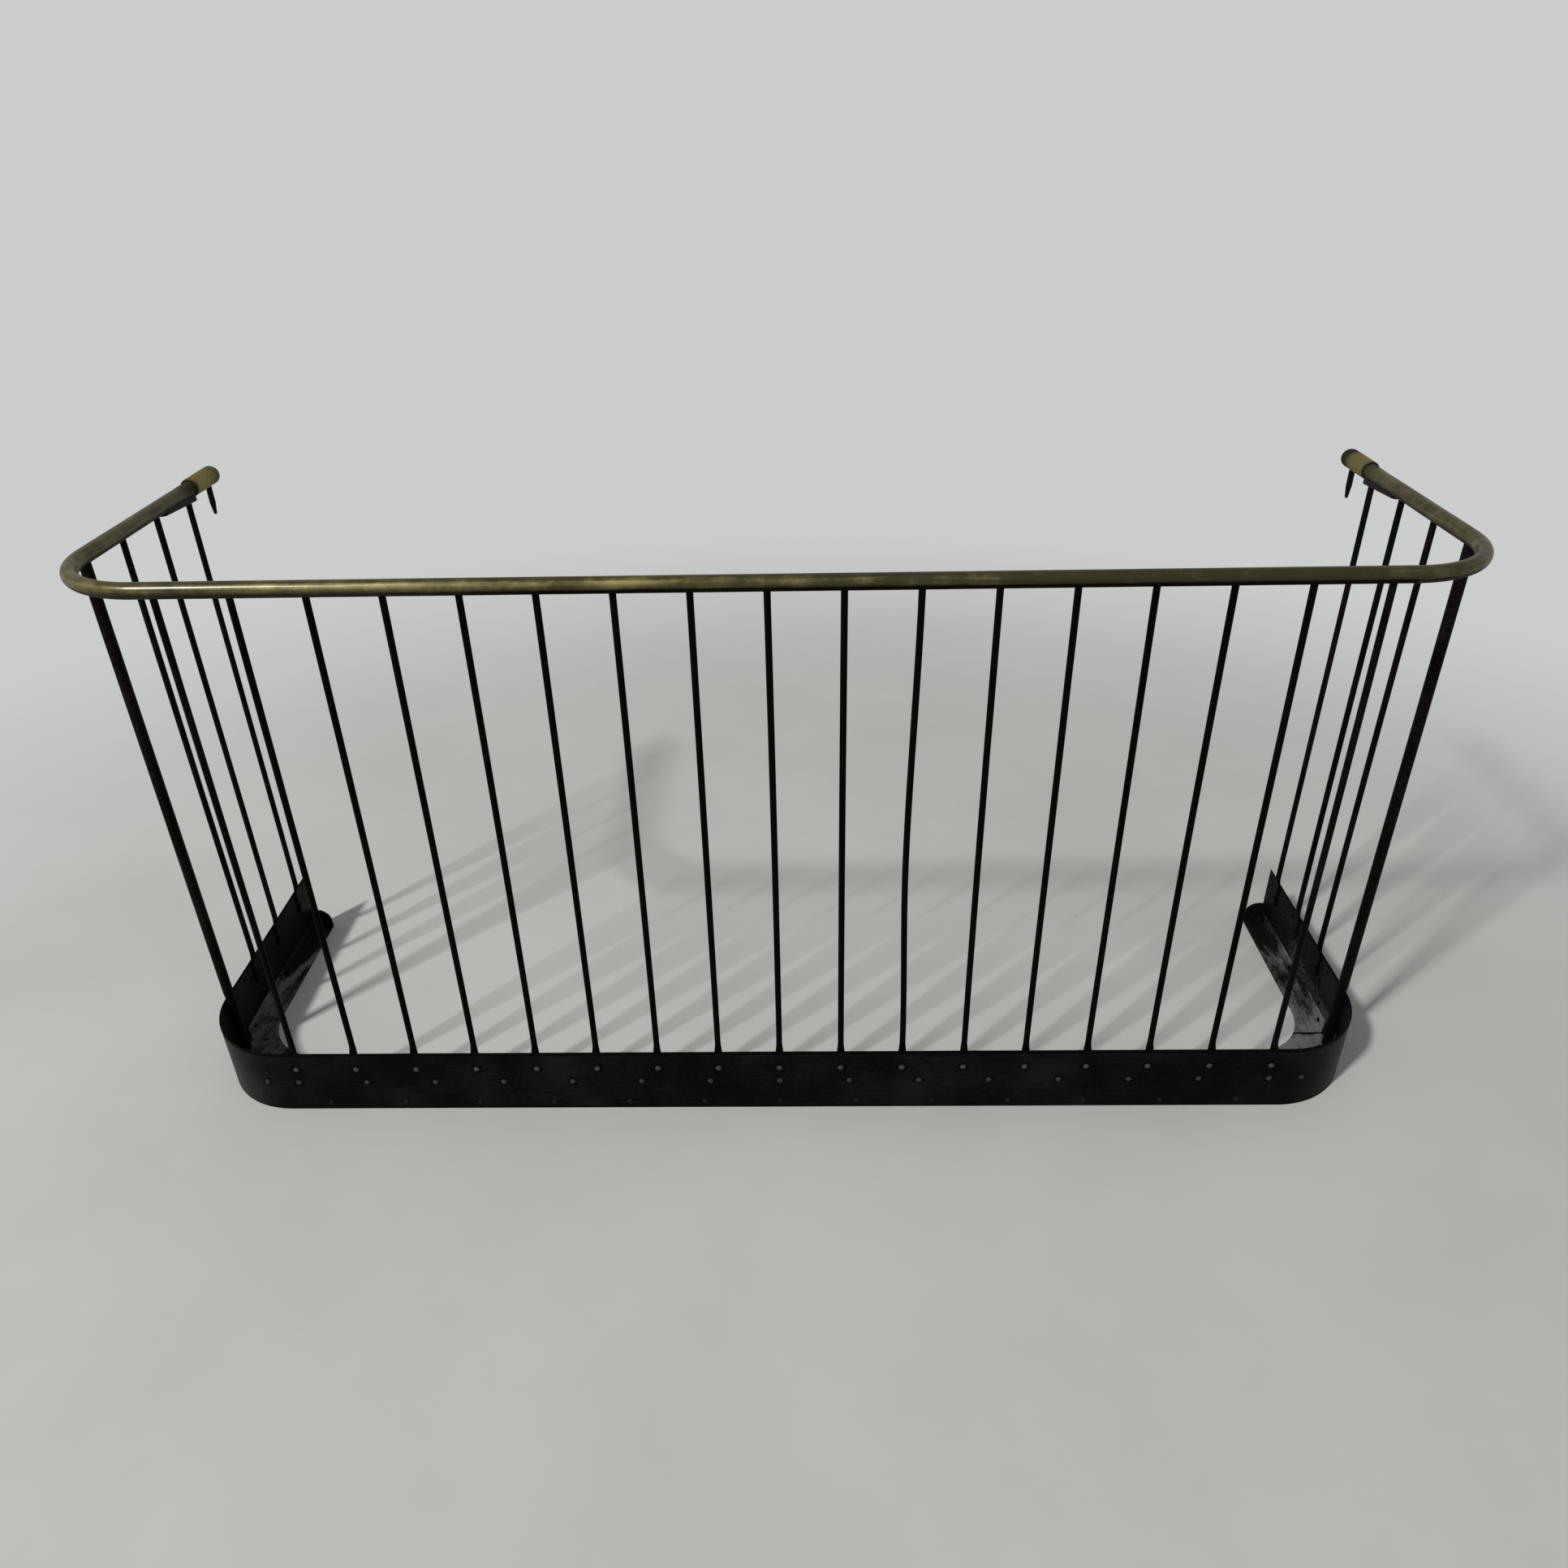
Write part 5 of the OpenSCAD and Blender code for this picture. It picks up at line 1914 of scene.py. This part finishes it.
@dataclass(frozen=True)
class Rivets:
    """The hand-closed rivets of the kerb.

    Attributes:
        layout: The fender's layout.
        shank: Radius of a rivet's shank.
        tail_radius: Radius of its closed end.
        tail_height: Height of its closed end.
        tail_edge: How far the closed end's edge is rounded off.
        sink: How far its head's rim reaches under the kerb's face, where the sheet waves.
        around: How many points go round it.
        dome_points: How many points its dome's profile has.
        hammered: Depth of the flats on its head.
        groups: The rivets' nodes, with how strongly each one's heads are lightened, 0 to 1: rubbing and a
            painted highlight.
    """

    layout: Layout
    shank: float = 2.0 * MM
    tail_radius: float = 3.5 * MM
    tail_height: float = 1.5 * MM
    tail_edge: float = 0.5 * MM
    sink: float = 0.35 * MM
    around: int = 28
    dome_points: int = 9
    hammered: float = 0.22 * MM
    groups: tuple[tuple[str, float], ...] = (
        ("upright_rivets", 1.0), ("strap_rivets", 0.65), ("plate_rivets", 0.15), ("joint_rivets", 0.3),
        ("stay_rivets", 0.2),
    )

    def build(self, shop: Workshop) -> None:
        """Makes each group as one piece, whose heads are lightened by its own share: rubbing, and a painted
        highlight.

        Args:
            shop: The workshop.
        """
        for number, (group, shine) in enumerate(self.groups):
            solids = self.solids(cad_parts[group].data)
            patches = [
                self.rivet(points, number * 100 + place, group != "stay_rivets")
                for place, points in enumerate(solids)
            ]
            for patch in patches:
                patch.rub = patch.rub * shine
            shop.make(group.replace("_", "_head_", 1), patches, Slot.RIVET, group)

    @staticmethod
    def solids(mesh: bpy.types.Mesh) -> list[Array]:
        """Parts a CAD group into its solids.

        Each distinct point takes the smallest number among the corners of its triangles, again and
        again until nothing changes. Points with one number then belong to one solid.

        Args:
            mesh: The group's mesh of loose triangles.

        Returns:
            The points of each solid, ordered by X and then by Z.
        """
        co = np.zeros(len(mesh.vertices) * 3)
        mesh.vertices.foreach_get("co", co)
        mesh.calc_loop_triangles()
        corners = np.zeros(len(mesh.loop_triangles) * 3, np.int64)
        mesh.loop_triangles.foreach_get("vertices", corners)
        points, same = np.unique(np.round(co.reshape(-1, 3), 6), axis=0, return_inverse=True)
        triangles = same.ravel()[corners].reshape(-1, 3)
        label = np.arange(len(points))
        while True:
            low = label[triangles].min(1)
            following = label.copy()
            for column in range(3):
                np.minimum.at(following, triangles[:, column], low)
            if (following == label).all():
                break
            label = following
        parts = [points[label == number] for number in np.unique(label)]
        return sorted(parts, key=lambda part: (round(part[:, 0].mean(), 3), round(part[:, 2].mean(), 3)))

    def rivet(self, points: Array, seed: int, tailed: bool) -> Patch:
        """One rivet, turned about the kerb's normal.

        Its head's height and radius vary a little from rivet to rivet, and the head has flats where
        the hammer fell, which a ripple over its two coordinates across takes off.

        Args:
            points: The CAD solid's points.
            seed: Seed of the variation.
            tailed: Whether it has a closed end inside, or is flush.

        Returns:
            The patch, whose rub mask is 1 on top of the head: rubbing, and a painted highlight.
        """
        plan, draw = self.layout.plan, np.random.default_rng(seed)
        low, high = points.min(0), points.max(0)
        centre = (low + high) / 2
        axis = plan.axis_out(plan.nearest(centre[0], centre[1]), centre[2])
        out = (points - axis.origin) @ axis.along
        head_r = (high[2] - low[2]) / 2 * draw.uniform(0.94, 1.0)
        head_h = (out.max() - self.layout.kerb_out) * draw.uniform(0.84, 1.0)
        profile = self.profile(head_r, head_h, out.min(), tailed)
        patch = lathe(axis, profile, self.around)
        angle = np.linspace(0, 2 * math.pi, self.around, endpoint=False)[None]
        flats = ripple(np.cos(angle) * profile[:, :1], np.sin(angle) * profile[:, :1], 0.006, seed=seed)
        number = np.arange(len(profile))[:, None]
        on_head = (number < self.dome_points - 1) * (profile[:, :1] > 0)
        patch.points = patch.points - (np.abs(flats) * on_head * self.hammered)[..., None] * axis.along
        # Lighter over the whole head: rubbing, and a painted highlight.
        rubbed_and_sheen = 1 - np.clip(profile[:, :1] / head_r, 0, 1) ** 8
        patch.rub = rubbed_and_sheen * (number < self.dome_points) + 0 * angle
        return patch

    def profile(self, radius: float, height: float, end: float, tailed: bool) -> Array:
        """The profile of a rivet: domed head, shank and closed end.

        The dome is the arc of a circle through its top and its rim, whose radius is
        (radius ** 2 + height ** 2) / (2 * height).

        Args:
            radius: Radius of its head.
            height: Height of its head above the kerb's face.
            end: Where its inner end lies, out of the plan's line.
            tailed: Whether it has a closed end inside, or is flush.

        Returns:
            Points (radius, distance out of the plan's line), from the top of the head inwards.
        """
        seat = self.layout.kerb_out
        dome_r = (radius ** 2 + height ** 2) / (2 * height)
        half = math.degrees(math.asin(min(1.0, radius / dome_r)))
        dome = arc((0.0, seat + height - dome_r), dome_r, 90, 90 - half, self.dome_points)
        dome[0, 0] = 0
        neck = [[radius, seat - self.sink], [self.shank, seat - self.sink]]
        tail = [[self.shank, end], [0.0, end]]
        if tailed:
            start = end + self.tail_height
            tail = [
                [self.shank, start], [self.tail_radius, start], [self.tail_radius, end + self.tail_edge],
                [self.tail_radius * 0.75, end], [0.0, end],
            ]
        return np.concatenate([dome, neck, tail])


# ---------------------------------------------------------------- studio


@dataclass(frozen=True)
class Camera:
    """The camera, as it stood: its place in metres, its three turns and its lens.

    Attributes:
        place: Where it stands.
        yaw: Turn to the left about Z, in degrees.
        pitch: How far it looks down, in degrees.
        roll: Turn about its own view, in degrees.
        focal: Focal length, in pixels of the photograph.
        picture: Width of the photograph, in pixels.
        sensor: Width of the sensor, in millimetres.
    """

    place: tuple[float, float, float] = (0.0409, -1.1761, 1.2064)
    yaw: float = 1.322
    pitch: float = 30.429
    roll: float = -1.215
    focal: float = 1441.2
    picture: float = 1932.0
    sensor: float = 36.0

    def build(self) -> None:
        """Makes the camera and sets it as the scene's own."""
        data = bpy.data.cameras.new("camera")
        data.sensor_width = self.sensor
        data.sensor_fit = "HORIZONTAL"
        data.lens = self.focal / self.picture * self.sensor
        data.clip_end = 50
        camera = bpy.data.objects.new("camera", data)
        bpy.context.scene.collection.objects.link(camera)
        camera.matrix_world = self.matrix()
        bpy.context.scene.camera = camera

    def matrix(self) -> Matrix:
        """Works out where the camera stands and how it is turned.

        Returns:
            Its right, up and backward directions as columns, and its place.
        """
        yaw, pitch, roll = (math.radians(angle) for angle in (self.yaw, self.pitch, self.roll))
        turn = Matrix.Rotation(yaw, 4, "Z") @ Matrix.Rotation(-pitch, 4, "X")
        level = turn @ Matrix.Rotation(math.pi / 2, 4, "X")
        return Matrix.Translation(self.place) @ level @ Matrix.Rotation(roll, 4, "Z")


@dataclass(frozen=True)
class Studio:
    """A pale floor that fades into a pale room, and one soft lamp up on the left in front.

    Attributes:
        floor: Colour of the floor.
        room: Colour of the room, as the camera and reflections see it.
        room_light: The room's share of the light.
        aim: The point that the lamp looks at, in metres.
        towards: The way from there to the lamp.
        distance: How far off the lamp is, in metres.
        lamp_size: Width and height of the lamp, in metres.
        power: Power of the lamp, in watts.
        fade: Distances from the middle between which the floor fades, in metres.
        floor_radius: Radius of the floor, in metres.
        cloud: The noise of the floor's clouds.
        cloud_shade: How much darker the floor is in them.
    """

    floor: Colour = (0.47, 0.465, 0.445)
    room: Colour = (0.60, 0.615, 0.615)
    room_light: float = 0.62
    aim: tuple[float, float, float] = (0.0, 0.2, 0.4)
    towards: tuple[float, float, float] = (-0.51, -0.50, 0.70)
    distance: float = 12.0
    lamp_size: tuple[float, float] = (0.9, 0.9)
    power: float = 1350.0
    fade: tuple[float, float] = (1.1, 2.6)
    floor_radius: float = 9.0
    cloud: Noise = Noise(2.2, 4.0, 0.6)
    cloud_shade: float = 0.93

    def build(self) -> None:
        """Makes the floor, the room and the lamp."""
        self.make_floor()
        self.make_room()
        self.make_lamp()
        bpy.context.scene.view_settings.view_transform = "Standard"

    def make_floor(self) -> None:
        """A round floor just under the fender: rings of points round the middle, joined by quads."""
        rings = np.array([0.0, 1.0, 3.0, self.floor_radius])[:, None]
        angle = np.linspace(0, 2 * math.pi, 64, endpoint=False)[None]
        drop = np.full((len(rings), angle.size), -0.2 * MM)
        points = np.stack([rings * np.cos(angle), rings * np.sin(angle), drop], -1)
        downwards, _ = Patch(points).quads()
        upwards = downwards[:, [0, 3, 2, 1]]
        mesh = bpy.data.meshes.new("floor")
        mesh.from_pydata(points.reshape(-1, 3).tolist(), [], upwards.tolist())
        mesh.materials.append(self.floor_material())
        floor = bpy.data.objects.new("floor", mesh)
        bpy.context.scene.collection.objects.link(floor)

    def floor_material(self) -> bpy.types.Material:
        """A matt floor with faint clouds, mixed with the room's own colour further out.

        Returns:
            The material.
        """
        bench = Bench("floor_pale")
        cloud = bench.span(bench.noise(bench.place, self.cloud), 0.3, 0.7, 0.0, 1.0)
        darker = tuple(self.cloud_shade * channel for channel in self.floor)
        bench.finish(bench.blend(cloud, darker, self.floor), 0.0, 0.85, 0.1)
        far = bench.node("ShaderNodeEmission")
        bench.feed(far.inputs["Color"], self.room)
        length = bench.node("ShaderNodeVectorMath", operation="LENGTH")
        bench.feed(length.inputs[0], bench.place)
        mix = bench.node("ShaderNodeMixShader")
        bench.feed(mix.inputs[0], bench.span(length.outputs["Value"], *self.fade))
        bench.feed(mix.inputs[1], bench.shader.outputs["BSDF"])
        bench.feed(mix.inputs[2], far.outputs["Emission"])
        bench.feed(bench.output.inputs["Surface"], mix.outputs[0])
        return bench.material

    def make_room(self) -> None:
        """An even, pale world, which lights less than it shows to the camera and in reflections."""
        world = bpy.data.worlds.new("room")
        world.use_nodes = True
        tree = world.node_tree
        background = tree.nodes["Background"]
        background.inputs["Color"].default_value = (*self.room, 1.0)
        path = tree.nodes.new("ShaderNodeLightPath")
        seen = path.outputs["Is Camera Ray"]
        for output in ("Is Glossy Ray", "Is Transmission Ray"):
            either = tree.nodes.new("ShaderNodeMath")
            either.operation = "MAXIMUM"
            tree.links.new(seen, either.inputs[0])
            tree.links.new(path.outputs[output], either.inputs[1])
            seen = either.outputs[0]
        level = tree.nodes.new("ShaderNodeMapRange")
        level.inputs["To Min"].default_value = self.room_light
        tree.links.new(seen, level.inputs["Value"])
        tree.links.new(level.outputs[0], background.inputs["Strength"])
        bpy.context.scene.world = world

    def make_lamp(self) -> None:
        """A square area lamp that looks at the fender."""
        data = bpy.data.lights.new("lamp", "AREA")
        data.shape = "RECTANGLE"
        data.size, data.size_y = self.lamp_size
        data.energy = self.power
        lamp = bpy.data.objects.new("lamp", data)
        bpy.context.scene.collection.objects.link(lamp)
        away = Vector(self.towards).normalized()
        lamp.location = Vector(self.aim) + away * self.distance
        lamp.rotation_euler = away.to_track_quat("Z", "Y").to_euler()


def main() -> None:
    """Builds the fender's pieces in order, then the studio and the camera."""
    logging.basicConfig(level=logging.INFO, format="%(message)s")
    layout = Layout.from_frame()
    shop = Workshop()
    for part in (TopRail(layout), Uprights(layout), Kerb(layout), Rivets(layout)):
        part.build(shop)
    Camera().build()
    Studio().build()


if __name__ == "__main__":
    main()
